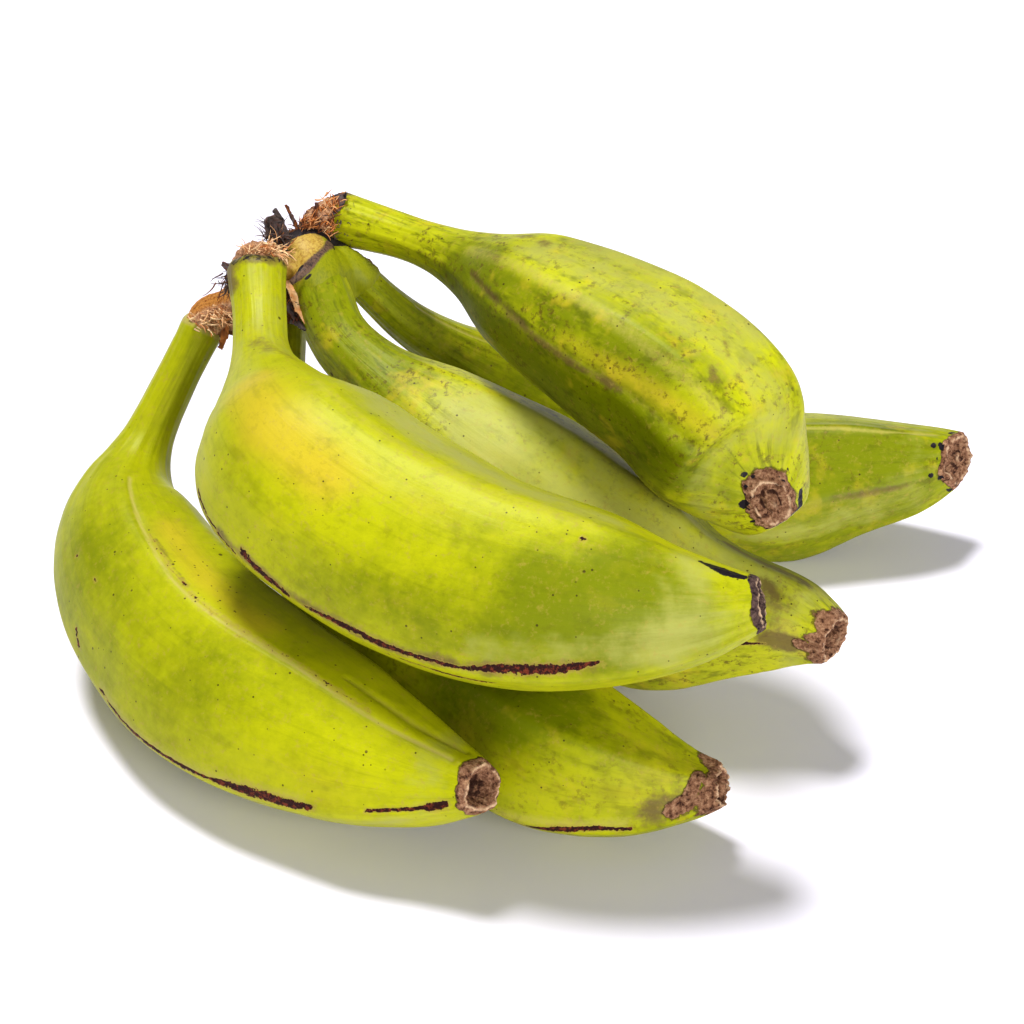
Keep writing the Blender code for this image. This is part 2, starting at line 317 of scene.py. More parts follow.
class NodeSheet:
    """The node tree of one material, written a few words at a time."""

    def __init__(self, name: str) -> None:
        """Opens a new material with its Principled shader."""
        self.material = bpy.data.materials.new(name)
        self.material.use_nodes = True
        self.tree = self.material.node_tree
        self.shader = self.tree.nodes["Principled BSDF"]

    def _node(self, kind: str, **inputs: object) -> bpy.types.Node:
        """Adds a node and feeds its inputs by name."""
        node = self.tree.nodes.new(kind)
        for name, value in inputs.items():
            self.feed(node.inputs[name], value)
        return node

    def feed(self, socket: Socket, value: object) -> None:
        """Links the socket to another, or sets its own value."""
        if isinstance(value, bpy.types.NodeSocket):
            self.tree.links.new(value, socket)
        else:
            socket.default_value = value

    def place(self, offset: float = 0.0) -> Socket:
        """The point on the object, moved by an offset that tells pieces apart."""
        point = self.tree.nodes.new("ShaderNodeTexCoord").outputs["Object"]
        return self.stretched(point, (1, 1, 1), offset)

    def stretched(self, vector: Socket, scale: tuple, offset: float = 0.0) -> Socket:
        """The vector scaled along each axis and moved."""
        node = self._node("ShaderNodeMapping", Vector=vector)
        node.inputs["Scale"].default_value = scale
        node.inputs["Location"].default_value = (offset, 0.7 * offset, 1.3 * offset)
        return node.outputs["Vector"]

    def attribute(self, name: str) -> Socket:
        """A number that the mesh carries at each point."""
        node = self.tree.nodes.new("ShaderNodeAttribute")
        node.attribute_name = name
        return node.outputs["Fac"]

    def vector_attribute(self, name: str) -> Socket:
        """A vector that the mesh carries at each point."""
        node = self.tree.nodes.new("ShaderNodeAttribute")
        node.attribute_name = name
        return node.outputs["Vector"]

    def noise(self, vector: Socket, size_mm: float, detail: int = 3, rough: float = 0.55) -> Socket:
        """Cloudy noise with lumps of about this size."""
        node = self._node("ShaderNodeTexNoise", Vector=vector, Scale=1 / (size_mm * MM))
        self.feed(node.inputs["Detail"], detail)
        self.feed(node.inputs["Roughness"], rough)
        return node.outputs["Fac"]

    def cells(self, vector: Socket, size_mm: float) -> tuple[Socket, Socket]:
        """Scattered dots: how far the nearest one is in cell widths, and its own random colour."""
        node = self._node("ShaderNodeTexVoronoi", Vector=vector, Scale=1 / (size_mm * MM))
        return node.outputs["Distance"], node.outputs["Color"]

    def math(self, operation: str, first: object, second: object = 0.0, clamp: bool = False) -> Socket:
        """One sum of two numbers."""
        node = self.tree.nodes.new("ShaderNodeMath")
        node.operation = operation
        node.use_clamp = clamp
        self.feed(node.inputs[0], first)
        self.feed(node.inputs[1], second)
        return node.outputs[0]

    def times(self, first: object, second: object) -> Socket:
        """The product of two numbers, kept between 0 and 1."""
        return self.math("MULTIPLY", first, second, clamp=True)

    def scaled(self, value: Socket, by: float, plus: float) -> Socket:
        """The value times one number, with another added."""
        result = self.math("MULTIPLY_ADD", value, by)
        result.node.inputs[2].default_value = plus
        return result

    def shifted(self, value: Socket, by: Socket, amount: float) -> Socket:
        """The value pushed up and down by noise, at most half the amount each way."""
        return self.math("ADD", value, self.scaled(by, amount, -amount / 2))

    def stirred(self, layer: Layer, *stirs: tuple[Socket, float]) -> Socket:
        """A painted layer whose edges are broken up by noises, each by its own amount."""
        value = self.attribute(layer.value)
        for by, amount in stirs:
            value = self.shifted(value, by, amount)
        return value

    def band(self, value: Socket, low: float, high: float) -> Socket:
        """A smooth step from 0 at low to 1 at high."""
        node = self._node("ShaderNodeMapRange", Value=value)
        node.interpolation_type = "SMOOTHSTEP"
        node.inputs["From Min"].default_value = low
        node.inputs["From Max"].default_value = high
        return node.outputs["Result"]

    def spread(self, value: Socket, low: float, high: float) -> Socket:
        """A value of 0 to 1 stretched to run from low to high."""
        node = self._node("ShaderNodeMapRange", Value=value)
        node.inputs["To Min"].default_value = low
        node.inputs["To Max"].default_value = high
        return node.outputs["Result"]

    def mix(self, base: object, over: object, amount: object) -> Socket:
        """The base colour with another laid over it."""
        node = self.tree.nodes.new("ShaderNodeMix")
        node.data_type = "RGBA"
        sockets = [s for s in node.inputs if s.type == "RGBA"]
        self.feed(node.inputs["Factor"], amount)
        self.feed(sockets[0], linear(base) if isinstance(base, tuple) else base)
        self.feed(sockets[1], linear(over) if isinstance(over, tuple) else over)
        return next(s for s in node.outputs if s.type == "RGBA")

    def lay(
        self, base: object, over: object, value: Socket, low: float, high: float, cover: float = 1.0
    ) -> Socket:
        """Lays a colour over another where a value is high.

        Args:
            base: The colour underneath.
            over: The colour on top.
            value: The number that says where it lies.
            low: The value at which it starts to show.
            high: The value from which it covers most.
            cover: How much it covers there, up to 1.

        Returns:
            The mixed colour.
        """
        amount = self.band(value, low, high)
        return self.mix(base, over, self.times(amount, cover) if cover < 1 else amount)

    def tones(self, value: Socket, stops: tuple[tuple[float, Paint], ...]) -> Socket:
        """Colours picked by a number, from dark to light."""
        node = self._node("ShaderNodeValToRGB", Fac=value)
        ramp = node.color_ramp
        while len(ramp.elements) < len(stops):
            ramp.elements.new(0.5)
        for element, (place, paint) in zip(ramp.elements, stops):
            element.position = place
            element.color = linear(paint)
        return node.outputs["Color"]

    def part_of(self, colour: Socket, channel: str) -> Socket:
        """One channel of a colour."""
        node = self._node("ShaderNodeSeparateColor", Color=colour)
        return node.outputs[channel]

    def bump(self, height: Socket, depth_mm: float) -> Socket:
        """A surface normal that follows a height."""
        node = self._node("ShaderNodeBump", Height=height)
        node.inputs["Strength"].default_value = 1.0
        node.inputs["Distance"].default_value = depth_mm * MM
        return node.outputs["Normal"]

    def finish(
        self, colour: Socket, roughness: object, normal: Socket | None = None, **constants: float
    ) -> bpy.types.Material:
        """Feeds the shader.

        Args:
            colour: The base colour.
            roughness: A number or a socket.
            normal: The bumped normal, if there is one.
            **constants: Shader inputs that are the same all over, by name with underscores.

        Returns:
            The finished material.
        """
        self.feed(self.shader.inputs["Base Color"], colour)
        self.feed(self.shader.inputs["Roughness"], roughness)
        if normal is not None:
            self.feed(self.shader.inputs["Normal"], normal)
        for name, value in constants.items():
            self.shader.inputs[name.replace("_", " ")].default_value = value
        return self.material


@dataclass(frozen=True)
class CorkFinish:
    """Dry corky tissue: brown, cracked and matt."""

    dark: Paint = (50, 24, 16)
    mid: Paint = (130, 92, 68)
    light: Paint = (184, 146, 114)
    pale: Paint = (220, 188, 154)

    STOPS = (0.32, 0.466, 0.7)

    def colour(self, sheet: NodeSheet, flaky: Socket) -> Socket:
        """Brown mottling with dark cracks, after a flaky noise."""
        return sheet.tones(flaky, tuple(zip(self.STOPS, (self.dark, self.mid, self.light))))


@dataclass(frozen=True)
class PeelFinish:
    """Satin peel that is going from green to yellow, with its scabs and specks.

    Each colour is what the peel shows in the studio's light. The dark green also serves as painted shade,
    the pale film as painted sheen and the pale ridge lines as painted highlights.
    """

    lime: Paint = (177, 179, 8)
    # Dark green, which is also painted shade where marks lay it on shaded faces
    leaf_and_shade: Paint = (120, 129, 0)
    shade: Paint = (78, 88, 0)
    blush: Paint = (198, 176, 46)
    # The pale cut at the root, and the painted highlights along the ridges
    pale_cut_and_highlight: Paint = (184, 174, 92)
    # Pale waxy film, which is also painted sheen on some upper faces
    bloom_and_sheen: Paint = (168, 168, 84)
    bruise: Paint = (102, 80, 50)
    stain: Paint = (94, 78, 20)
    speck: Paint = (62, 48, 12)
    halo: Paint = (170, 148, 70)
    scab: Paint = (50, 20, 16)
    crust: Paint = (122, 56, 34)
    char: Paint = (30, 24, 30)
    cork: CorkFinish = field(default_factory=CorkFinish)
    greenness: float = 0.0
    mottle: float = 0.5
    cloudy: float = 1.0
    roughness: float = 0.44
    dry_roughness: float = 0.84
    gloss: float = 0.17

    # How dry a scab is beside cork
    SCAB_DRYNESS = 0.6

    # Bump depths of pores, of the pores in cork and of the streaks along the finger
    PORE_MM = 0.025
    CORK_PORE_MM = 0.5
    STREAK_MM = 0.04

    # Specks by cell width in mm, widest radius in cell widths, rarity, and how far a few swell
    DOTS = ((1.5, 0.2, 0.86, 0.0), (4.5, 0.085, 0.62, 0.06))
    DOT_EDGE = (1.1, 0.6)
    CROWDING = 0.8

    def build(self, name: str, seed: float) -> bpy.types.Material:
        """Makes the peel of one finger.

        Args:
            name: The material's name.
            seed: Moves every pattern, so that no two fingers match.

        Returns:
            The finished material.
        """
        sheet = NodeSheet(name)
        place = sheet.place(seed)
        skin = sheet.vector_attribute("skin")
        fine = sheet.noise(place, size_mm=0.9, detail=3, rough=0.65)
        coarse = sheet.noise(place, size_mm=5, detail=3, rough=0.6)
        colour = self._ground(sheet, place, skin, coarse)
        colour = self._mottling(sheet, place, skin, colour)
        colour = self._films(sheet, skin, colour, fine, coarse)
        colour = self._dots(sheet, place, colour)
        colour, dry = self._crusts(sheet, place, colour, fine)
        roughness = sheet.scaled(dry, self.dry_roughness - self.roughness, self.roughness)
        normal = self._grain(sheet, place, skin)
        return sheet.finish(colour, roughness, normal, Specular_IOR_Level=self.gloss)

    def _ground(self, sheet: NodeSheet, place: Socket, skin: Socket, coarse: Socket) -> Socket:
        """Lime and dark green in clouds, drawn out along the finger, with a yellow blush; the dark green
        is also painted shade where marks lay it on shaded faces.
        """
        cloud = sheet.noise(place, size_mm=26, detail=2, rough=0.5)
        drawn = sheet.noise(sheet.stretched(skin, (1, 1, 0.16)), size_mm=7, detail=3, rough=0.6)
        small = sheet.noise(place, size_mm=2.2, detail=3, rough=0.6)
        green = sheet.stirred(
            Layer.LEAF_AND_SHADE,
            (cloud, 1.5 * self.cloudy),
            (drawn, 0.9 * self.cloudy),
            (coarse, 0.8 * self.cloudy),
            (small, 0.5),
        )
        green = sheet.math("ADD", green, self.greenness)
        # Dark green, which is painted shade where shading marks raise the layer
        colour = sheet.lay(self.lime, self.leaf_and_shade, green, low=-0.25, high=0.85)
        blush = sheet.stirred(Layer.BLUSH, (cloud, 0.7), (drawn, 0.5))
        return sheet.lay(colour, self.blush, blush, low=0.15, high=1.0, cover=0.85)

    def _mottling(self, sheet: NodeSheet, place: Socket, skin: Socket, colour: Socket) -> Socket:
        """Hair streaks, dark smudges, warm clouds and patches of brown flecks."""
        hair = sheet.noise(sheet.stretched(skin, (1, 1, 0.05)), size_mm=1.1, detail=2, rough=0.6)
        colour = sheet.lay(colour, self.shade, hair, low=0.5, high=0.83, cover=0.16)
        smudge = sheet.noise(sheet.stretched(skin, (1, 1, 0.7)), size_mm=4.2, detail=3, rough=0.66)
        smudging = 0.08 + 0.52 * self.mottle
        colour = sheet.lay(colour, self.shade, smudge, low=0.511, high=0.7, cover=smudging)
        warm = sheet.noise(place, size_mm=8, detail=3, rough=0.65)
        colour = sheet.lay(colour, self.blush, warm, low=0.532, high=0.69, cover=0.5 * self.mottle)
        patch = sheet.band(sheet.noise(place, size_mm=9, detail=2), 0.35, 0.586)
        fleck = sheet.band(sheet.noise(place, size_mm=1.5, detail=3, rough=0.72), 0.511, 0.683)
        flecked = sheet.times(sheet.times(patch, fleck), 0.85 * self.mottle)
        return sheet.mix(colour, self.stain, flecked)

    def _films(
        self, sheet: NodeSheet, skin: Socket, colour: Socket, fine: Socket, coarse: Socket
    ) -> Socket:
        """Pale waxy film that is partly painted sheen, bruises, and painted highlights on the ridges,
        over the green.
        """
        drawn = sheet.noise(sheet.stretched(skin, (1, 1, 0.2)), size_mm=2.4, detail=3, rough=0.65)
        # Pale waxy film, which is also painted sheen
        bloom_and_sheen = sheet.stirred(Layer.BLOOM_AND_SHEEN, (coarse, 0.9), (drawn, 0.5))
        colour = sheet.lay(colour, self.bloom_and_sheen, bloom_and_sheen, low=0.2, high=0.9, cover=0.8)
        bruise = sheet.stirred(Layer.BRUISE, (coarse, 0.9), (fine, 0.5))
        colour = sheet.lay(colour, self.bruise, bruise, low=0.35, high=0.85, cover=0.8)
        # Pale cut tissue, and painted highlights along the ridges
        pale_cut_and_highlight = sheet.stirred(Layer.PALE_CUT_AND_HIGHLIGHT, (fine, 0.35))
        return sheet.lay(colour, self.pale_cut_and_highlight, pale_cut_and_highlight, low=0.15, high=0.85, cover=0.85)

    def _dots(self, sheet: NodeSheet, place: Socket, colour: Socket) -> Socket:
        """Fine specks all over, crowded where the mesh says so, and a few larger dots."""
        crowd = sheet.times(sheet.attribute(Layer.SPECKS.value), self.CROWDING)
        for size_mm, reach, rarity, swell in self.DOTS:
            distance, own = sheet.cells(place, size_mm)
            pick = sheet.math("ADD", sheet.part_of(own, "Red"), crowd)
            chosen = sheet.band(pick, rarity, rarity + 0.02)
            size = sheet.spread(sheet.part_of(own, "Green"), 0.5 * reach, reach)
            if swell:
                large = sheet.band(sheet.part_of(own, "Blue"), 0.94, 0.97)
                size = sheet.math("ADD", size, sheet.times(large, swell))
            inside = sheet.band(sheet.math("DIVIDE", distance, size), *self.DOT_EDGE)
            colour = sheet.mix(colour, self.speck, sheet.times(sheet.times(inside, chosen), 0.85))
        return colour

    def _crusts(
        self, sheet: NodeSheet, place: Socket, colour: Socket, fine: Socket
    ) -> tuple[Socket, Socket]:
        """Scabs, the corky end and charred skin, laid over everything else.

        Args:
            sheet: The peel's node sheet.
            place: The point on the object.
            colour: The colour so far.
            fine: Fine noise that breaks up the edges.

        Returns:
            The colour, and how dry the surface is, from 0 to 1.
        """
        flaky = sheet.noise(place, size_mm=1.1, detail=3, rough=0.7)
        ragged = sheet.noise(place, size_mm=2.6, detail=2)
        scab = sheet.stirred(Layer.SCAB, (fine, 1.3), (ragged, 0.7))
        colour = sheet.lay(colour, self.halo, scab, low=0.02, high=0.5, cover=0.55)
        crust = sheet.lay(self.scab, self.crust, flaky, low=0.478, high=0.65)
        crusted = sheet.band(scab, 0.5, 0.62)
        colour = sheet.mix(colour, crust, crusted)
        cork = sheet.stirred(Layer.CORK, (fine, 0.55))
        colour = sheet.lay(colour, self.scab, cork, low=0.3, high=0.44, cover=0.7)
        bark = self.cork.colour(sheet, flaky)
        pale = sheet.stirred(Layer.PALE, (fine, 0.8))
        bark = sheet.lay(bark, self.cork.pale, pale, low=0.2, high=0.9, cover=0.85)
        pit = sheet.stirred(Layer.PIT, (fine, 0.9))
        bark = sheet.lay(bark, self.cork.dark, pit, low=0.3, high=0.85, cover=0.9)
        corked = sheet.band(cork, 0.42, 0.52)
        colour = sheet.mix(colour, bark, corked)
        char = sheet.stirred(Layer.CHAR, (fine, 0.5))
        colour = sheet.lay(colour, self.char, char, low=0.42, high=0.56)
        return colour, sheet.math("MAXIMUM", corked, sheet.times(crusted, self.SCAB_DRYNESS))

    def _grain(self, sheet: NodeSheet, place: Socket, skin: Socket) -> Socket:
        """Fine pores and streaks, much deeper where the peel is corky or scabbed."""
        corky = sheet.band(sheet.attribute(Layer.CORK.value), 0.3, 0.6)
        scabbed = sheet.band(sheet.attribute(Layer.SCAB.value), 0.35, 0.75)
        dry = sheet.math("MAXIMUM", corky, sheet.times(scabbed, self.SCAB_DRYNESS))
        depth = sheet.scaled(dry, self.CORK_PORE_MM, self.PORE_MM)
        pores = sheet.math("MULTIPLY", sheet.noise(place, size_mm=0.48, detail=2, rough=0.7), depth)
        streaks = sheet.noise(sheet.stretched(skin, (1, 1, 0.06)), size_mm=0.9, detail=1)
        streaks = sheet.math("MULTIPLY", streaks, self.STREAK_MM)
        return sheet.bump(sheet.math("ADD", pores, streaks), depth_mm=1.0)


@dataclass(frozen=True)
class BlossomEnd:
    """The dry end of a finger, where the flower fell off.

    Its profile is (share of the end's radius, rise in mm) from the rim to the middle. The pit is
    a dark ring at its share of the radius, the nub a pale middle, and `faces` the way that the
    end looks where it doesn't follow the finger.
    """

    profile: Keys = (
        (1, 0), (0.97, 0.25), (0.88, 0.7), (0.74, 0.65), (0.62, 0.2), (0.5, -0.5), (0.34, -0.6),
        (0.3, 0.6), (0.16, 1.2), (0.02, 1.3),
    )
    lap_mm: float = 1.2
    wrinkle_mm: float = 0.22
    wrinkles: int = 9
    pit_share: float = 0.42
    pit_width: float = 0.12
    nub_pale: float = 0.8
    pale_share: float = 0.84
    burnt: float = 0.4
    faces: tuple[float, float, float] | None = None
    rings: int = 44

    RADIUS_MM = 6

    def shares_and_rises(self) -> tuple[Array, Array]:
        """The profile at even steps, as radius shares and rises in metres."""
        rows = np.array(self.profile, float)
        steps = np.hypot(np.diff(rows[:, 0]) * self.RADIUS_MM, np.diff(rows[:, 1]))
        run = np.concatenate([[0], np.cumsum(steps)])
        places = np.linspace(0, run[-1], self.rings + 1)[1:]
        return np.interp(places, run, rows[:, 0]), np.interp(places, run, rows[:, 1]) * MM


class MeshCraft:
    """Small mesh jobs that every piece shares."""

    @staticmethod
    def tube_faces(rings: int, around: int, start: int = 0) -> list[tuple[int, ...]]:
        """Quads that join rings of points, wound so that they face outwards."""
        faces = []
        for ring in range(rings - 1):
            near = start + ring * around
            for step in range(around):
                turn = (step + 1) % around
                faces.append((near + step, near + around + step, near + around + turn, near + turn))
        return faces

    @staticmethod
    def fan(ring_start: int, around: int, centre: int, outward: bool) -> list[tuple[int, ...]]:
        """Triangles that close a ring on its centre point."""
        faces = []
        for step in range(around):
            pair = (ring_start + step, ring_start + (step + 1) % around)
            faces.append((centre, *(pair if outward else pair[::-1])))
        return faces

    @staticmethod
    def closed_tube(rings: Array) -> tuple[Array, list[tuple[int, ...]]]:
        """Points and faces of a tube with both ends closed.

        Args:
            rings: Points by ring, step round it and axis.

        Returns:
            The flat points, with the two centres last, and the faces.
        """
        count, around, _ = rings.shape
        points = np.vstack([rings.reshape(-1, 3), rings[0].mean(axis=0), rings[-1].mean(axis=0)])
        faces = MeshCraft.tube_faces(count, around)
        faces += MeshCraft.fan(0, around, count * around, outward=True)
        faces += MeshCraft.fan((count - 1) * around, around, count * around + 1, outward=False)
        return points, faces

    @staticmethod
    def new_object(name: str, points: Array, faces: list[tuple[int, ...]]) -> bpy.types.Object:
        """A smooth mesh object linked to the scene."""
        mesh = bpy.data.meshes.new(name)
        mesh.from_pydata(points.tolist(), [], faces)
        mesh.shade_smooth()
        item = bpy.data.objects.new(name, mesh)
        bpy.context.scene.collection.objects.link(item)
        return item

    @staticmethod
    def set_numbers(item: bpy.types.Object, name: str, values: Array) -> None:
        """Stores one number per point on the mesh."""
        layer = item.data.attributes.new(name, "FLOAT", "POINT")
        layer.data.foreach_set("value", values.astype(np.float32).ravel())

    @staticmethod
    def set_vectors(item: bpy.types.Object, name: str, values: Array) -> None:
        """Stores one vector per point on the mesh."""
        layer = item.data.attributes.new(name, "FLOAT_VECTOR", "POINT")
        layer.data.foreach_set("vector", values.astype(np.float32).ravel())

    @staticmethod
    def deliver(item: bpy.types.Object, node: str, material: bpy.types.Material) -> None:
        """Hands a finished piece to the frame in place of the solid that it stands for."""
        item.data.materials.append(material)
        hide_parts(node)
        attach(item, BODY)
        LOG.info("%s: %d points, stands for %s", item.name, len(item.data.vertices), node)


# A route round a finger's torn root
RIM = tuple((0.0, degrees) for degrees in range(0, 361, 60))

# And one round its neck, just before the blossom end
TIP = tuple((0.955, degrees) for degrees in range(0, 361, 60))


@dataclass(frozen=True)
class Finger:
    """One banana, from the torn root of its stalk to its dry blossom end.

    Keys are (x, y, z, radius) in mm, and ridges and root_slant are degrees, as in the solids.
    A number added to the seed keeps two patterns on one finger apart.
    """

    name: str
    node: str
    keys: Keys
    ridges: tuple[float, ...]
    seed: float
    marks: tuple[Mark, ...]
    root_slant: float = 0.0
    root_lead_mm: float = 1.6
    root_pale: float = 0.3
    rim_mm: float = 0.3
    end: BlossomEnd = field(default_factory=BlossomEnd)
    peel: PeelFinish = field(default_factory=PeelFinish)
    lump_mm: float = 0.45

    AROUND = 200

    # Stations along the finger, closer together from where its tip starts
    BODY_STATIONS = 186
    TIP_STATIONS = 42
    TIP_FROM = 0.9

    # Shares of the length over which the root's slant and the end's turn fade
    SLANT_FADE = 0.12
    END_FADE = 0.15
    END_TURN = 2.2

    # Half the angle, in degrees, up to which the face between two ridges is flat
    FLAT_FACE_HALF = 36

    # The radius in metres of the plain cylinder that drawn-out patterns are read from
    SKIN_RADIUS = 0.02
    DRAW_SHARE = 0.2

    # The torn rim: width of its teeth, how far down the stalk they reach, and how far the cut
    # shows
    RIM_TOOTH_MM = 2.6
    RIM_REACH_MM = 1.5
    CUT_REACH_MM = 1.1

    # Relief in mm and the width of its lumps, for streaks and for crusts
    LUMP_WIDTH_MM = 24
    STREAK_MM = 0.16
    STREAK_WIDTH_MM = 5
    CRUST_MM = 0.12
    CRUST_GRAIN_MM = 0.22
    CRUST_WIDTH_MM = 0.9
    ROOT_EASE = 0.02

    # How many widths of a stroke matter beside it
    STROKE_REACH = 2.6

    # Rings inside the crown: how far back, in shares of the lead, and their size
    ROOT_RINGS = ((1.0, 0.86), (0.66, 0.93), (0.33, 0.98))

    # The wrinkled face of the blossom end
    WRINKLE_CIRCLE_MM = 3.2
    WRINKLE_RISE_MM = 1.2
    WRINKLE_GAIN = 1.6
    FACE_LUMP_MM = 0.42
    PALE_WIDTH = 0.13

    # Ridges are rounded by turns in degrees with weights, and grow sharper along the finger
    RIDGE_BLUR = ((-4, 0.18), (-2, 0.22), (0, 0.2), (2, 0.22), (4, 0.18))
    FLATNESS = ((0, 0.25), (0.2, 0.35), (0.45, 0.6), (0.8, 0.85), (1, 0.8))

    def stations(self) -> Array:
        """Shares along the finger, closer together towards the tip."""
        body = np.linspace(0, self.TIP_FROM, self.BODY_STATIONS, endpoint=False)
        return np.concatenate([body, np.linspace(self.TIP_FROM, 1, self.TIP_STATIONS)])

    def section(self, angles: Array, shares: Array) -> Array:
        """Radius shares by station and angle: most on a ridge, less on the face between two."""
        corners = np.radians(sorted(ridge % 360 for ridge in self.ridges))
        corners = np.concatenate([[corners[-1] - math.tau], corners, [corners[0] + math.tau]])
        flatness = np.interp(shares, *zip(*self.FLATNESS))[:, None]
        share = 0
        for turn, weight in self.RIDGE_BLUR:
            angle = (angles + math.radians(turn)) % math.tau
            after = np.searchsorted(corners, angle, side="right")
            half = (corners[after] - corners[after - 1]) / 2
            chord = np.cos(half) / np.cos(angle - corners[after - 1] - half)
            bulge = np.minimum(1, math.radians(self.FLAT_FACE_HALF) / half) ** 2
            share = share + weight * (1 - flatness * (1 - chord) * bulge)
        return share / share.mean(axis=1)[:, None]

    def build(self) -> bpy.types.Object:
        """Makes the finger's mesh, paints its layers and hands it over."""
        shares = self.stations()
        angles = np.linspace(0, math.tau, self.AROUND, endpoint=False)
        spine = Spine(self.keys, shares)
        radius = spine.radius[:, None] * self.section(angles, shares)
        rings = spine.line[:, None] + spine.offsets(radius, angles)
        fade = np.maximum(0, 1 - shares / self.SLANT_FADE)[:, None]
        slide = radius * np.sin(angles) * fade * math.tan(math.radians(self.root_slant))
        torn = self.rim_mm * MM * grain(rings[0], self.RIM_TOOTH_MM, self.seed + 11)
        slide = slide + torn * np.exp(-spine.run[:, None] / (self.RIM_REACH_MM * MM))
        if self.end.faces:
            slide = slide + self._end_slide(rings, spine)
        rings += slide[..., None] * spine.tangent[:, None]
        painted, relief = self._strokes(rings, shares)
        relief = relief + self._grown_relief(rings, painted, spine, angles)
        relief = relief * np.clip(shares / self.ROOT_EASE, 0.3, 1)[:, None]
        rings = rings + self._outward(rings) * relief[..., None]
        rings, painted, skin = self._with_ends(rings, painted, spine, angles)
        rings[..., 2] = np.maximum(rings[..., 2], 0)
        points, faces = MeshCraft.closed_tube(rings)
        item = MeshCraft.new_object(self.name, points, faces)
        for layer, values in painted.items():
            ends = [values[0].mean(), values[-1].mean()]
            MeshCraft.set_numbers(item, layer.value, np.concatenate([values.ravel(), ends]))
        ends = [skin[0].mean(axis=0), skin[-1].mean(axis=0)]
        MeshCraft.set_vectors(item, "skin", np.vstack([skin.reshape(-1, 3), ends]))
        MeshCraft.deliver(item, self.node, self.peel.build(f"{self.name}_peel", self.seed))
        return item

    def _end_slide(self, rings: Array, spine: Spine) -> Array:
        """Slides along the line that turn the blossom end to face where it should."""
        faces = unit(np.array(self.end.faces))
        lean = -((rings - spine.line[:, None]) @ faces) / (spine.tangent[-1] @ faces)
        fade = np.clip(1 - (1 - spine.shares) / self.END_FADE, 0, 1)
        return lean * fade[:, None] ** self.END_TURN

    def _grown_relief(
        self, rings: Array, painted: dict[Layer, Array], spine: Spine, angles: Array
    ) -> Array:
        """Broad lumps, streaks along the finger and the grain of its crusts, in metres."""
        relief = self.lump_mm * grain(rings, self.LUMP_WIDTH_MM, self.seed, 2)
        drawn = self._drawn(spine, angles)
        relief = relief + self.STREAK_MM * grain(drawn, self.STREAK_WIDTH_MM, self.seed, 2)
        crust = np.clip(painted[Layer.SCAB] + painted[Layer.CORK] + painted[Layer.CHAR], 0, 1)
        fine = grain(rings, self.CRUST_WIDTH_MM, self.seed)
        return (relief + crust * (self.CRUST_MM + self.CRUST_GRAIN_MM * fine)) * MM

    def _drawn(self, spine: Spine, angles: Array) -> Array:
        """Places for noise that is drawn out along the finger."""
        turn = np.stack([np.cos(angles), np.sin(angles)], axis=1) * self.SKIN_RADIUS
        drawn = np.zeros((len(spine.run), len(angles), 3))
        drawn[..., :2] = turn[None]
        drawn[..., 2] = self.DRAW_SHARE * spine.run[:, None]
        return drawn

    def _strokes(self, rings: Array, shares: Array) -> tuple[dict[Layer, Array], Array]:
        """Paints every mark.

        Args:
            rings: The bare skin, by station and angle.
            shares: The stations.

        Returns:
            The painted layers, and the relief in metres.
        """
        painted = {layer: np.zeros(rings.shape[:2]) for layer in PEEL_LAYERS}
        relief = np.zeros(rings.shape[:2])
        length = np.linalg.norm(np.diff(rings.mean(axis=1), axis=0), axis=1).sum()
        for mark in self.marks:
            rows = mark.line()
            margin = self.STROKE_REACH * mark.width_mm * MM / length
            near = (shares > rows[:, 0].min() - margin) & (shares < rows[:, 0].max() + margin)
            line = self._on_skin(rings, shares, rows)
            fall = mark.fall(rings[near], line)
            layer = painted[mark.layer]
            layer[near] = 1 - (1 - layer[near]) * (1 - np.clip(mark.strength * fall, 0, 1))
            relief[near] += fall * mark.relief_mm * MM
        return painted, relief

    def _on_skin(self, rings: Array, shares: Array, rows: Array) -> Array:
        """Points on the skin at (share, degrees) rows."""
        station = np.interp(rows[:, 0], shares, np.arange(len(shares)))
        step = (rows[:, 1] % 360) / 360 * self.AROUND
        low, left = np.minimum(station.astype(int), len(shares) - 2), step.astype(int)
        along, across = (station - low)[:, None], (step - left)[:, None]
        left, right = left % self.AROUND, (left + 1) % self.AROUND
        near = rings[low, left] * (1 - across) + rings[low, right] * across
        far = rings[low + 1, left] * (1 - across) + rings[low + 1, right] * across
        return near * (1 - along) + far * along

    @staticmethod
    def _outward(rings: Array) -> Array:
        """Unit normals of the skin grid, pointing out of the finger."""
        along = np.gradient(rings, axis=0)
        around = np.roll(rings, -1, axis=1) - np.roll(rings, 1, axis=1)
        return unit(np.cross(around, along))

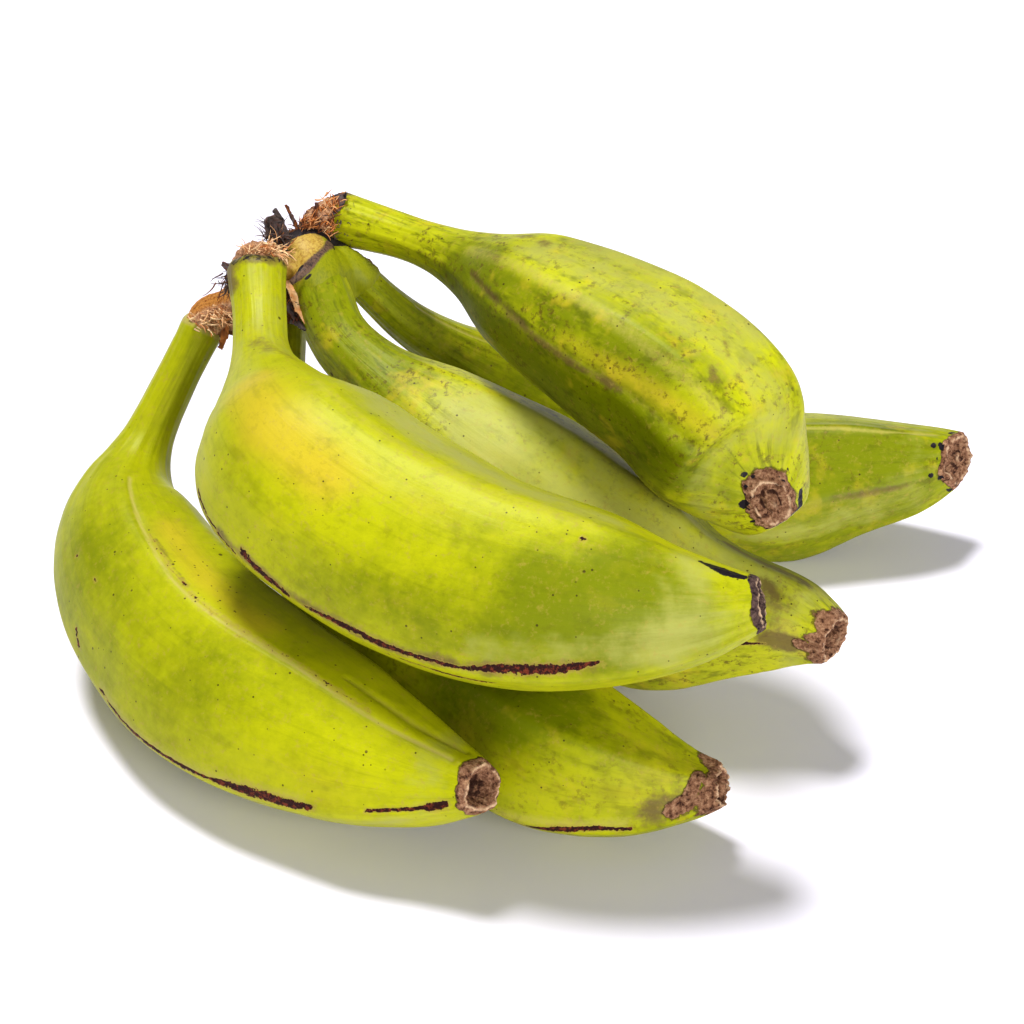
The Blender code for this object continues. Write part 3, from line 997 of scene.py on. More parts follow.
    def _with_ends(
        self, rings: Array, painted: dict[Layer, Array], spine: Spine, angles: Array
    ) -> tuple[Array, dict[Layer, Array], Array]:
        """Adds the root inside the crown and the blossom end.

        Args:
            rings: The skin grid.
            painted: Its painted layers.
            spine: The finger's centre line.
            angles: The steps round each ring.

        Returns:
            The longer grid, its layers, and a skin coordinate for drawn-out patterns.
        """
        circle = np.stack([np.cos(angles), np.sin(angles), np.zeros(len(angles))], axis=1)
        root = self._root_rings(rings[0], spine)
        shares, rises = self.end.shares_and_rises()
        middle = rings[-1].mean(axis=0)
        spread = (rings[-1] - middle) * shares[:, None, None]
        tip = middle + spread + spine.tangent[-1] * rises[:, None, None]
        lumps = grain(tip, 1.5, self.seed + 5)
        tip = tip + spine.tangent[-1] * self._wrinkles(circle, shares, lumps)[..., None]
        self._paint_borders(rings, painted, spine)
        own = self._face_layers(tip, shares, lumps)
        grids = {
            layer: np.concatenate([np.repeat(values[:1], len(root), axis=0), values, own[layer]])
            for layer, values in painted.items()
        }
        length = spine.run / MM
        run = np.concatenate([[-3, -2, -1], length, length[-1] + self.end.RADIUS_MM * (1 - shares)])
        skin = np.repeat(circle[None] * self.SKIN_RADIUS, len(run), axis=0)
        skin[..., 2] = run[:, None] * MM
        return np.concatenate([root, rings, tip]), grids, skin

    def _root_rings(self, rim: Array, spine: Spine) -> Array:
        """Narrowing rings that carry the stalk on into the crown."""
        middle = rim.mean(axis=0)
        ahead = spine.tangent[0] * self.root_lead_mm * MM
        return np.array(
            [middle + (rim - middle) * share - ahead * back for back, share in self.ROOT_RINGS]
        )

    def _wrinkles(self, circle: Array, shares: Array, lumps: Array) -> Array:
        """How far the dry face is pushed out or in at each point, in metres.

        Args:
            circle: A unit circle with one point for each step round the finger.
            shares: The radius share of each ring of the face.
            lumps: Fine noise at each point.

        Returns:
            One value for each ring and step.
        """
        turn = np.repeat(circle[None] * self.WRINKLE_CIRCLE_MM * MM, len(shares), axis=0)
        turn[..., 2] += shares[:, None] * self.WRINKLE_RISE_MM * MM
        wrinkles = grain(turn, 6.0 / self.end.wrinkles, self.seed)
        rough = self.WRINKLE_GAIN * self.end.wrinkle_mm * wrinkles + self.FACE_LUMP_MM * lumps
        fade = np.clip((1.02 - shares) / 0.1, 0, 1) * np.clip(shares / 0.12, 0, 1)
        return rough * fade[:, None] * MM

    def _paint_borders(self, rings: Array, painted: dict[Layer, Array], spine: Spine) -> None:
        """Paints cork and burnt skin next to the blossom end, and the pale cut at the root."""
        neck = grain(rings[-1], 2.4, self.seed + 9, 2)
        distance = (spine.run[-1] - spine.run)[:, None] / MM
        lap = self.end.lap_mm * (1 + 0.9 * neck)[None]
        burnt = self.end.burnt * np.clip(2.2 * grain(rings, 1.8, self.seed + 13, 2), 0, 1)
        cut = 1 - np.clip(spine.run[:, None] / (self.CUT_REACH_MM * MM), 0, 1)
        for layer, values in (
            (Layer.CORK, np.clip(1 - distance / (2 * lap), 0, 1)),
            (Layer.CHAR, burnt * np.clip(1.6 - distance / 1.3, 0, 1)),
            (Layer.PALE_CUT_AND_HIGHLIGHT, self.root_pale * cut),
        ):
            painted[layer] = np.maximum(painted[layer], values)

    def _face_layers(self, tip: Array, shares: Array, lumps: Array) -> dict[Layer, Array]:
        """What is painted on the dry face: cork all over, a dark pit, pale rings and a pale nub."""
        own = {layer: np.zeros(lumps.shape) for layer in PEEL_LAYERS}
        own[Layer.CORK] += 1
        pit = np.clip(1 - np.abs(shares - self.end.pit_share) / self.end.pit_width, 0, 1)
        own[Layer.PIT] = pit[:, None] * np.clip(1 + 0.8 * lumps, 0, 1.2)
        pale = np.clip(1 - np.abs(shares - self.end.pale_share) / self.PALE_WIDTH, 0, 1)
        pale = np.maximum(pale, self.end.nub_pale * np.clip(1.4 - shares / 0.2, 0, 1))
        blotch = np.clip(0.7 + 0.9 * grain(tip, 1.8, self.seed + 17), 0, 1)
        own[Layer.PALE] = pale[:, None] * blotch
        return own


LEFT = Finger(
    name="left_finger",
    node="finger_left",
    keys=(
        (-69, 47, 61, 4.8),
        (-76, 40, 49, 4.9),
        (-82, 32, 38.5, 6.4),
        (-85, 25, 33, 11),
        (-84, 15, 28, 16.2),
        (-78, 0, 22.7, 19.3),
        (-61, -26, 20, 20.8),
        (-38, -47, 20.7, 17.6),
        (-17, -61.5, 22.8, 10.6),
        (-7.5, -70, 27, 5.2),
    ),
    ridges=(-13, 78, 124, 185, 250),
    seed=1.7,
    root_pale=0.8,
    rim_mm=0.5,
    peel=PeelFinish(mottle=0.1, cloudy=0.6),
    end=BlossomEnd(
        profile=(
            (1, 0), (0.97, 0.3), (0.86, 0.9), (0.7, 0.7), (0.56, -0.4), (0.44, -1.5), (0.25, -1.7),
            (0.1, -1.1), (0.02, -1.0),
        ),
        lap_mm=0.9,
        pit_share=0.22,
        pit_width=0.4,
        nub_pale=0.0,
    ),
    marks=(
        # The pale lines along the ridges are painted highlights
        Mark(
            Layer.PALE_CUT_AND_HIGHLIGHT, 0.6, 0.75,
            ((0.25, 86), (0.41, 82), (0.54, 77), (0.74, 78), (0.87, 72), (0.98, 76)), 0.4,
        ),
        Mark(Layer.PALE_CUT_AND_HIGHLIGHT, 1.3, 0.45, ((0.8, 92), (0.87, 92), (0.92, 94), (0.98, 108)), 0.6, 0.4),
        Mark(Layer.SCAB, 0.5, 0.52, ((0.4, 85), (0.54, 80), (0.64, 80), (0.76, 80), (0.85, 76))),
        Mark(Layer.PALE_CUT_AND_HIGHLIGHT, 2.6, 0.45, ((0.5, -7), (0.6, -10), (0.7, -9), (0.8, -7)), 0.1),
        Mark(Layer.SCAB, 0.75, 1.0, ((0.5, -9), (0.57, -13), (0.64, -13), (0.71, -12)), 0.1, 0.5),
        Mark(Layer.SCAB, 1.8, 1.1, ((0.69, -12), (0.73, -12), (0.77, -12), (0.815, -10)), 0.3, 0.4),
        Mark(Layer.SCAB, 0.5, 0.95, ((0.88, -7), (0.91, -6), (0.94, -6), (0.96, -5)), 0.1),
        Mark(Layer.SCAB, 1.0, 1.0, ((0.96, -5), (0.98, -4)), 0.2),
        *(
            Mark(Layer.SCAB, 0.5, 0.95, (spot,), 0.1)
            for spot in ((0.352, 32), (0.409, 39), (0.531, 81), (0.598, 78), (0.656, 76))
        ),
        Mark(Layer.BRUISE, 0.9, 0.6, ((0.42, 86), (0.48, 84), (0.535, 81))),
        Mark(Layer.SCAB, 0.7, 0.9, ((0.42, 3), (0.436, -4))),
        Mark(Layer.SPECKS, 6, 1.1, ((0.43, 100), (0.5, 100), (0.57, 94))),
        Mark(Layer.BRUISE, 0.8, 0.7, RIM),
        Mark(Layer.BLUSH, 6, 0.7, ((0.4, 100), (0.52, 92), (0.66, 90))),
        Mark(Layer.BLUSH, 9, 0.3, ((0.62, 8), (0.78, 8), (0.88, 10))),
        Mark(Layer.LEAF_AND_SHADE, 14, 0.45, ((0.38, 40), (0.5, 32), (0.64, 30))),
        Mark(Layer.BLOOM_AND_SHEEN, 3, 0.7, ((0.5, -30), (0.7, -30), (0.92, -24))),
        Mark(Layer.BLOOM_AND_SHEEN, 5, 0.5, TIP),
    ),
)

FRONT_TOP = Finger(
    name="front_top_finger",
    node="finger_front_top",
    keys=(
        (-55.5, 38, 81.5, 6.4),
        (-54.5, 27, 76, 5.6),
        (-53.5, 15, 72.5, 6.4),
        (-50, 1, 70.5, 12.6),
        (-45.3, -14.5, 67.8, 21),
        (-30.5, -29, 62.8, 22.2),
        (-8.5, -44, 59.4, 21.1),
        (15, -53, 59.6, 18.2),
        (34, -57, 61, 11.5),
        (47, -58, 63.5, 5.6),
    ),
    ridges=(-13, 90, 152, 245),
    seed=4.1,
    root_slant=12,
    root_pale=0.2,
    rim_mm=0.7,
    peel=PeelFinish(mottle=0.2, cloudy=0.7, cork=CorkFinish((40, 28, 30), (80, 62, 58), (116, 94, 84))),
    end=BlossomEnd(lap_mm=0.7, pit_share=0.5, burnt=0.7),
    marks=(
        # The pale lines along the ridges are painted highlights
        Mark(Layer.PALE_CUT_AND_HIGHLIGHT, 2.6, 0.4, ((0.35, 91), (0.5, 91), (0.65, 90), (0.8, 89)), 0.3),
        Mark(Layer.BLOOM_AND_SHEEN, 8, 0.75, ((0.34, 118), (0.5, 116), (0.66, 112), (0.8, 110))),
        Mark(Layer.SCAB, 0.6, 0.9, ((0.34, -9), (0.37, -13), (0.4, -15))),
        Mark(Layer.SPECKS, 4, 0.9, ((0.36, -4), (0.42, -7))),
        Mark(Layer.SCAB, 1.2, 1.0, ((0.41, -10), (0.44, -13), (0.475, -15)), 0.15),
        Mark(Layer.SCAB, 1.0, 1.0, ((0.5, -14), (0.56, -11), (0.6, -12), (0.68, -11)), 0.15, 0.4),
        Mark(Layer.SCAB, 1.25, 1.0, ((0.68, -11), (0.73, -7), (0.79, -5), (0.83, -2)), 0.15, 0.3),
        Mark(Layer.SCAB, 0.8, 0.9, ((0.6, -22), (0.66, -23), (0.72, -22)), 0.1, 0.4),
        Mark(Layer.BRUISE, 2.3, 0.75, ((0.38, -12), (0.5, -12), (0.66, -10), (0.82, -3))),
        Mark(Layer.PALE_CUT_AND_HIGHLIGHT, 1.5, 0.3, ((0.36, -8), (0.5, -9), (0.66, -7), (0.82, 2))),
        Mark(Layer.CHAR, 1.7, 1.1, ((0.94, 97), (0.965, 94), (0.99, 90)), 0.1, 0.5),
        Mark(Layer.SCAB, 0.8, 0.9, ((0.795, 79),)),
        Mark(Layer.BRUISE, 3.2, 0.6, ((0.15, 70), (0.18, 84), (0.24, 104))),
        Mark(Layer.CHAR, 0.4, 0.5, RIM),
        Mark(Layer.BRUISE, 1.6, 0.75, RIM),
        Mark(Layer.BRUISE, 3.4, 1.0, ((0.0, 0), (0.03, 10))),
        Mark(Layer.BLOOM_AND_SHEEN, 7, 0.5, ((0.02, 90), (0.12, 90), (0.2, 90))),
        Mark(Layer.BLUSH, 9, 0.85, ((0.3, 60), (0.38, 60), (0.46, 56))),
        Mark(Layer.BLUSH, 7, 0.35, ((0.5, 72), (0.6, 70))),
        Mark(Layer.LEAF_AND_SHADE, 8, 1.0, ((0.76, 42), (0.82, 34), (0.84, 22))),
        Mark(Layer.LEAF_AND_SHADE, 8, 0.5, ((0.5, 8), (0.62, 12), (0.74, 14))),
        Mark(Layer.LEAF_AND_SHADE, 7, 0.65, ((0.88, 66), (0.92, 34))),
        Mark(Layer.BLOOM_AND_SHEEN, 8, 0.6, ((0.93, 90), (0.93, 60), (0.92, 30), (0.9, 0))),
        Mark(Layer.LEAF_AND_SHADE, 5, 0.6, ((0.83, 70), (0.84, 40), (0.82, 10))),
        Mark(Layer.BLOOM_AND_SHEEN, 4, 0.5, ((0.7, 2), (0.85, 8), (0.95, 12))),
    ),
)

FRONT_LOW = Finger(
    name="front_low_finger",
    node="finger_front_low",
    keys=(
        (-51.5, 57, 55.5, 4.8),
        (-51.5, 43, 46, 5.4),
        (-49.5, 28, 35.5, 8.6),
        (-40, 10, 26, 13.2),
        (-24, -10, 18.5, 15),
        (-6, -30, 16, 16.2),
        (9, -46, 16, 16.9),
        (24, -52, 15, 12.8),
        (34.5, -54.5, 14.6, 8.2),
        (41, -56, 16, 5),
    ),
    ridges=(-16, 55, 120, 190, 265),
    seed=7.9,
    end=BlossomEnd(
        profile=(
            (1, 0), (0.96, 0.3), (0.84, 0.9), (0.7, 0.4), (0.6, -0.6), (0.5, -0.4), (0.42, 0.8),
            (0.3, 1.5), (0.14, 1.7), (0.02, 1.6),
        ),
        lap_mm=2.2,
        wrinkle_mm=0.4,
        pit_share=0.58,
    ),
    marks=(
        Mark(
            Layer.SCAB, 0.9, 1.0, ((0.76, -22), (0.8, -21), (0.83, -16), (0.87, -11), (0.91, -12)), 0.15,
            0.4,
        ),
        # The pale line along the ridge is a painted highlight
        Mark(Layer.PALE_CUT_AND_HIGHLIGHT, 1.8, 0.5, ((0.78, -15), (0.84, -9), (0.9, -6))),
        Mark(Layer.CORK, 2.2, 0.95, ((0.952, 3), (0.97, 12))),
        Mark(Layer.CORK, 1.5, 0.9, ((0.975, 30), (0.985, 60))),
        Mark(Layer.BRUISE, 4.5, 0.8, ((0.925, 6), (0.955, 16))),
        Mark(Layer.BLUSH, 8, 0.3, ((0.72, 25), (0.82, 22), (0.9, 20))),
        Mark(Layer.BLUSH, 6, 0.25, ((0.94, 60), (0.97, 70))),
        # Painted shade: dark green on the upper side, where finger_front_top overhangs this finger
        Mark(Layer.LEAF_AND_SHADE, 9, 1.1, ((0.66, 60), (0.76, 56), (0.81, 78))),
    ),
)

MIDDLE = Finger(
    name="middle_finger",
    node="finger_middle",
    keys=(
        (-45, 48, 76.5, 6),
        (-42.5, 44, 71.5, 6.5),
        (-39, 37, 65.5, 6.7),
        (-30, 29, 60, 8.2),
        (-18, 20.5, 52.5, 15),
        (-2.5, 10.5, 43.5, 20.4),
        (15, 0, 34.9, 21.3),
        (31.5, -9, 29.3, 19),
        (46, -14, 29, 13.2),
        (58, -19, 30, 9.2),
        (65.7, -24.5, 29.8, 5.5),
    ),
    ridges=(25, 95, 160, 230, 310),
    seed=11.3,
    end=BlossomEnd(lap_mm=1.8, pit_share=0.46, pit_width=0.16, wrinkle_mm=0.3),
    # A lighter copy of the peel: painted light that makes up for the shadow that finger_back_top casts on
    # this finger
    peel=PeelFinish(
        lime=(184, 185, 30), leaf_and_shade=(132, 140, 8), bloom_and_sheen=(178, 178, 88), greenness=0.15, mottle=0.9
    ),
    root_lead_mm=3.0,
    root_pale=0.0,
    rim_mm=0.1,
    marks=(
        # Painted sheen and painted light: a pale film along the upper faces, which lightens the finger
        # where it lies in shadow
        Mark(Layer.BLOOM_AND_SHEEN, 9, 0.85, ((0.36, 66), (0.48, 62), (0.6, 66), (0.75, 74), (0.88, 80))),
        Mark(Layer.BLOOM_AND_SHEEN, 6, 0.7, ((0.42, 95), (0.55, 98), (0.7, 104))),
        Mark(Layer.BRUISE, 3, 0.9, ((0.83, 118), (0.88, 112), (0.94, 112))),
        Mark(Layer.BRUISE, 4, 0.6, ((0.88, 70), (0.94, 66))),
        Mark(Layer.CORK, 1.6, 1.0, ((0.972, 9), (0.985, 2))),
        Mark(Layer.BRUISE, 3.6, 1.0, ((0.925, 14), (0.96, 8))),
        Mark(Layer.SCAB, 0.7, 0.8, ((0.8, 8), (0.86, 6), (0.92, 4)), taper=0.4),
        Mark(Layer.LEAF_AND_SHADE, 7, 1.0, ((0.04, 60), (0.14, 60), (0.22, 64))),
        Mark(Layer.BLOOM_AND_SHEEN, 5, 0.5, TIP),
        Mark(Layer.SPECKS, 8, 0.9, ((0.88, 66), (0.95, 50))),
        Mark(Layer.BRUISE, 1.3, 0.7, ((0.9, 78), (0.92, 70))),
    ),
)

BACK_TOP = Finger(
    name="back_top_finger",
    node="finger_back_top",
    keys=(
        (-39, 61.5, 80.5, 5.8),
        (-21, 50, 81, 5),
        (-8, 37.5, 82, 8),
        (3.5, 25, 82, 14.2),
        (18.9, 12, 79.4, 17.6),
        (33.7, 1.3, 74.6, 19.4),
        (41.3, -5.8, 69.1, 19.6),
        (44.8, -9, 66.2, 18),
        (47.6, -11.9, 63.6, 15.2),
        (50, -15, 61.6, 10.4),
        (52, -17.8, 60, 4.4),
    ),
    ridges=(22, 57, 118, 190, 270),
    seed=15.2,
    end=BlossomEnd(
        profile=(
            (1, 0), (0.97, 0.2), (0.9, 0.45), (0.72, 0.25), (0.55, -0.1), (0.42, -0.35), (0.36, 0.1),
            (0.3, 0.9), (0.18, 1.3), (0.02, 1.35),
        ),
        lap_mm=0.6,
        pit_share=0.42,
        burnt=0.8,
        faces=(0.23, -0.96, 0.16),
    ),
    peel=PeelFinish(lime=(186, 188, 18), greenness=0.1, mottle=0.95),
    root_pale=0.1,
    rim_mm=0.7,
    marks=(
        # The pale lines along the ridges are painted highlights
        Mark(
            Layer.PALE_CUT_AND_HIGHLIGHT, 1.3, 0.3,
            ((0.38, 29), (0.48, 24), (0.56, 22), (0.7, 24), (0.8, 27), (0.88, 31), (0.95, 37)), 0.4,
        ),
        Mark(Layer.PALE_CUT_AND_HIGHLIGHT, 2.4, 0.45, ((0.33, 57), (0.48, 58), (0.62, 56), (0.75, 52), (0.87, 56)), 0.3),
        Mark(Layer.BRUISE, 1.6, 0.75, ((0.38, 34), (0.5, 24), (0.57, 19), (0.72, 23))),
        *(
            Mark(Layer.BRUISE, 1.7, 0.6, ((share, degrees), (share + 0.02, degrees - 6)))
            for share, degrees in ((0.78, 91), (0.8, 70), (0.83, 79))
        ),
        Mark(Layer.BRUISE, 2.5, 0.6, ((0.4, 98), (0.46, 94))),
        Mark(Layer.BLUSH, 3.5, 0.6, ((0.6, 30), (0.75, 34), (0.88, 44))),
        Mark(Layer.BLOOM_AND_SHEEN, 7, 0.7, ((0.46, 84), (0.62, 84), (0.76, 84), (0.88, 92))),
        # Painted shade: darker green on the lower face, below the sharp ridge, which faces down
        Mark(Layer.LEAF_AND_SHADE, 9, 1.0, ((0.35, 0), (0.5, -6), (0.7, -4), (0.86, 6))),
        Mark(Layer.LEAF_AND_SHADE, 6, 0.7, ((0.4, 42), (0.6, 38), (0.75, 38))),
        Mark(Layer.BLOOM_AND_SHEEN, 5, 0.5, TIP),
        Mark(Layer.BLOOM_AND_SHEEN, 4, 0.7, ((0.5, 112), (0.65, 112), (0.8, 112))),
        Mark(Layer.CHAR, 0.8, 0.7, RIM),
        Mark(Layer.BRUISE, 2.6, 0.9, RIM),
        Mark(Layer.CHAR, 1.1, 1.0, ((0.985, 172), (0.992, 200))),
        Mark(Layer.CHAR, 1.0, 0.9, ((0.99, 240),)),
    ),
)

BACK = Finger(
    name="back_finger",
    node="finger_back",
    keys=(
        (-35.5, 51.5, 72.5, 3.8),
        (-25, 52, 60.5, 4.6),
        (-13, 55.5, 49, 6.8),
        (1, 58, 38, 12),
        (18, 58, 28.5, 16.8),
        (37, 57.5, 22.2, 18.2),
        (56, 54.5, 14.8, 17.6),
        (75, 53.5, 18, 13.2),
        (92, 52, 21, 9.2),
        (99.4, 51.5, 23.2, 6),
    ),
    ridges=(11, 79, 145, 215, 300),
    seed=19.6,
    end=BlossomEnd(
        profile=(
            (1, 0), (0.97, 0.35), (0.86, 0.55), (0.7, 0.2), (0.5, 0), (0.3, 0.1), (0.2, 0.5), (0.02, 0.6)
        ),
        lap_mm=0.5,
        pit_share=0.3,
        burnt=1.0,
        faces=(0.8, -0.5, 0.3),
    ),
    peel=PeelFinish(greenness=0.35, mottle=0.6),
    root_lead_mm=3.0,
    root_pale=0.0,
    rim_mm=0.1,
    marks=(
        # The pale lines along the ridges are painted highlights
        Mark(
            Layer.PALE_CUT_AND_HIGHLIGHT, 0.8, 0.6,
            ((0.1, 82), (0.3, 80), (0.6, 79), (0.8, 79), (0.9, 79), (0.95, 88), (0.98, 100)), 0.35,
        ),
        Mark(Layer.PALE_CUT_AND_HIGHLIGHT, 1.6, 0.35, ((0.7, 12), (0.85, 9), (0.95, 8)), 0.3),
        Mark(Layer.BRUISE, 1.6, 0.7, ((0.82, 13), (0.88, 11), (0.94, 10))),
        Mark(Layer.BLOOM_AND_SHEEN, 6, 0.6, ((0.7, -10), (0.8, -14), (0.9, -14))),
        Mark(Layer.LEAF_AND_SHADE, 8, 1.1, ((0.72, 42), (0.82, 42), (0.9, 46))),
        Mark(Layer.CHAR, 1.0, 0.8, ((0.985, 14),)),
        Mark(Layer.CHAR, 0.9, 0.8, ((0.985, 68),)),
        Mark(Layer.BLOOM_AND_SHEEN, 4, 0.4, TIP),
    ),
)

FINGERS = (LEFT, FRONT_TOP, FRONT_LOW, MIDDLE, BACK_TOP, BACK)


@dataclass(frozen=True)
class CrownFinish:
    """Torn crown tissue: brown and fibrous, with living skin and black scabs.

    A pair of colours is a tissue's own and that of the strands in it.
    """

    tissue: Paint = (128, 92, 62)
    dust: Paint = (104, 46, 26)
    green: tuple[Paint, Paint] = ((144, 146, 8), (128, 134, 6))
    tan: tuple[Paint, Paint] = ((188, 160, 74), (158, 122, 48))
    orange: tuple[Paint, Paint] = ((212, 150, 72), (158, 92, 34))
    bark: tuple[Paint, Paint] = ((112, 86, 70), (54, 42, 42))
    rust: tuple[Paint, Paint] = ((104, 46, 26), (60, 24, 16))
    fibre: tuple[Paint, Paint] = ((212, 168, 132), (150, 92, 56))
    char: Paint = (36, 28, 30)

    def build(self) -> bpy.types.Material:
        """Makes the crown's material."""
        sheet = NodeSheet("crown_tissue")
        place = sheet.place()
        fine = sheet.noise(place, size_mm=0.7, detail=5, rough=0.7)
        strands = sheet.noise(sheet.stretched(place, (1, 1, 0.25)), size_mm=0.5, detail=4, rough=0.7)
        colour = sheet.lay(self.tissue, self.dust, fine, low=0.4, high=0.66)
        for layer, (paint, strand) in (
            (Layer.GREEN, self.green),
            (Layer.TAN, self.tan),
            (Layer.ORANGE, self.orange),
            (Layer.BARK, self.bark),
            (Layer.RUST, self.rust),
            (Layer.FIBRE, self.fibre),
        ):
            own = sheet.lay(paint, strand, strands, low=0.42, high=0.66)
            colour = sheet.lay(colour, own, sheet.stirred(layer, (fine, 0.5)), low=0.22, high=0.6)
        char = sheet.stirred(Layer.CHAR, (fine, 0.6))
        colour = sheet.lay(colour, self.char, char, low=0.42, high=0.58)
        living = (sheet.attribute(layer.value) for layer in (Layer.GREEN, Layer.TAN))
        smooth = sheet.math("MAXIMUM", *living)
        roughness = sheet.spread(smooth, 0.85, 0.5)
        rough = sheet.times(strands, sheet.spread(smooth, 1.0, 0.06))
        return sheet.finish(colour, roughness, sheet.bump(rough, depth_mm=0.7), Specular_IOR_Level=0.3)


@dataclass(frozen=True)
class FibreFinish:
    """Dry torn strands, each with its own tone from 0, charred, to 1, pale."""

    tones: tuple[tuple[float, Paint], ...] = (
        (0.0, (34, 26, 28)),
        (0.16, (96, 84, 82)),
        (0.3, (96, 48, 28)),
        (0.6, (208, 134, 72)),
        (1.0, (248, 216, 172)),
    )
    dirt: Paint = (60, 34, 24)

    def build(self) -> bpy.types.Material:
        """Makes the strands' material."""
        sheet = NodeSheet("dry_strands")
        colour = sheet.tones(sheet.attribute("tone"), self.tones)
        cloud = sheet.noise(sheet.place(), size_mm=1.2)
        colour = sheet.lay(colour, self.dirt, cloud, low=0.5, high=0.75, cover=0.5)
        return sheet.finish(colour, 0.75, sheet.bump(cloud, depth_mm=0.1), Specular_IOR_Level=0.3)


@dataclass(frozen=True)
class Limb:
    """A rounded arm of crown tissue: (x, y, z, radius) keys in mm."""

    keys: Keys
    squash: float = 1.0

    def tube(self, stations: int = 24, around: int = 24) -> tuple[Array, list[tuple[int, ...]]]:
        """Points and faces of the closed arm."""
        spine = Spine(self.keys, np.linspace(0, 1, stations), soften=False)
        angles = np.linspace(0, math.tau, around, endpoint=False)
        steps = spine.offsets(spine.radius[:, None] * np.ones(around), angles)
        upward = (steps @ spine.up[:, :, None]) * spine.up[:, None]
        return MeshCraft.closed_tube(spine.line[:, None] + steps - upward * (1 - self.squash))


@dataclass(frozen=True)
class Tuft:
    """A bunch of torn strands that grow from around a route and lean one way.

    Route and lean are in mm, in the frame of the key lists; the tone runs from 0, charred, to
    1, pale.
    """

    route: Keys
    lean: tuple[float, float, float]
    count: int
    spread_mm: float
    length_mm: float
    width_mm: float = 0.16
    tone: float = 0.5
    tone_spread: float = 0.25
    curl: float = 0.5

    SIDES = 5
    STEPS = 9
    STRAY = 0.35
    LENGTHS = (0.5, 1.15)
    WIDTHS = (0.6, 1.4)
    BEND = 0.22
    WOBBLE = 0.12
    TIP_WIDTH = 0.25
    SQUARE_TO = (0.31, 0.52, 0.8)

    def strands(self, random: np.random.Generator) -> tuple[list[Array], list[float]]:
        """Rings of every strand, and each one's tone.

        Args:
            random: The crown's own seeded generator.

        Returns:
            One grid of rings for each strand, and the tones.
        """
        route = placed(self.route)
        lean = unit(np.array(self.lean, float))
        grids, tones = [], []
        angles = np.linspace(0, math.tau, self.SIDES, endpoint=False)
        for _ in range(self.count):
            place = route[0]
            if len(route) > 1:
                place = resample(route, np.array([random.random()]))[0]
            place = place + random.normal(0, self.spread_mm * MM / 2, 3)
            way = unit(lean + random.normal(0, self.STRAY, 3))
            bend = random.normal(0, self.curl, 3)
            length = self.length_mm * MM * random.uniform(*self.LENGTHS)
            line = [place]
            for _ in range(self.STEPS - 1):
                way = unit(way + bend * self.BEND + random.normal(0, self.WOBBLE, 3))
                line.append(line[-1] + way * length / (self.STEPS - 1))
            line = np.array(line)
            tangent = unit(np.gradient(line, axis=0))
            side = unit(np.cross(tangent, self.SQUARE_TO))
            up = np.cross(tangent, side)
            width = self.width_mm * MM * random.uniform(*self.WIDTHS)
            radius = width * np.linspace(1, self.TIP_WIDTH, self.STEPS)
            turn = np.cos(angles)[:, None] * side[:, None] + np.sin(angles)[:, None] * up[:, None]
            grids.append(line[:, None] + radius[:, None, None] * turn)
            tones.append(float(np.clip(random.normal(self.tone, self.tone_spread), 0, 1)))
        return grids, tones


@dataclass(frozen=True)
class Scrap:
    """A dried shred of skin: (x, y, z, half width) keys in mm, thin, cupped and crumpled."""

    keys: Keys
    thick_mm: float = 0.45
    cup_mm: float = 0.8
    crumple_mm: float = 0.7
    twist: float = 0.0
    tone: float = 0.2
    tone_spread: float = 0.3
    seed: float = 0.0

    STATIONS = 46
    ACROSS = 15

    # Widths in mm of its waves, of its ragged edge and of its changes in tone
    WAVE_MM = 3.2
    RAGGED_MM = 1.0
    TONE_MM = 1.4
    RAGGED_DEPTH_MM = 0.5

    def grid(self) -> tuple[Array, Array]:
        """The shred's rings and the tone at each point."""
        spine = Spine(self.keys, np.linspace(0, 1, self.STATIONS), soften=False)
        across = np.linspace(-1, 1, self.ACROSS)
        turn = self.twist * spine.shares[:, None]
        side = np.cos(turn) * spine.side + np.sin(turn) * spine.up
        up = np.cross(side, spine.tangent)
        flat = spine.line[:, None] + spine.radius[:, None, None] * across[:, None] * side[:, None]
        wave = grain(flat, self.WAVE_MM, self.seed)
        ragged = grain(flat, self.RAGGED_MM, self.seed + 3, 2)
        rise = (self.cup_mm * across**2 + self.crumple_mm * wave) * MM
        middle = flat + rise[..., None] * up[:, None]
        edge = (np.abs(across) > 0.99)[None] * ragged * self.RAGGED_DEPTH_MM * MM
        middle = middle + (edge * np.sign(across))[..., None] * side[:, None]
        half = self.thick_mm * MM / 2 * (1.05 - across**4)
        top = middle + half[:, None] * up[:, None]
        under = middle - half[:, None] * up[:, None]
        rings = np.concatenate([top, under[:, ::-1]], axis=1)
        blotch = grain(rings, self.TONE_MM, self.seed + 7)
        return rings, np.clip(self.tone + self.tone_spread * blotch, 0, 1)


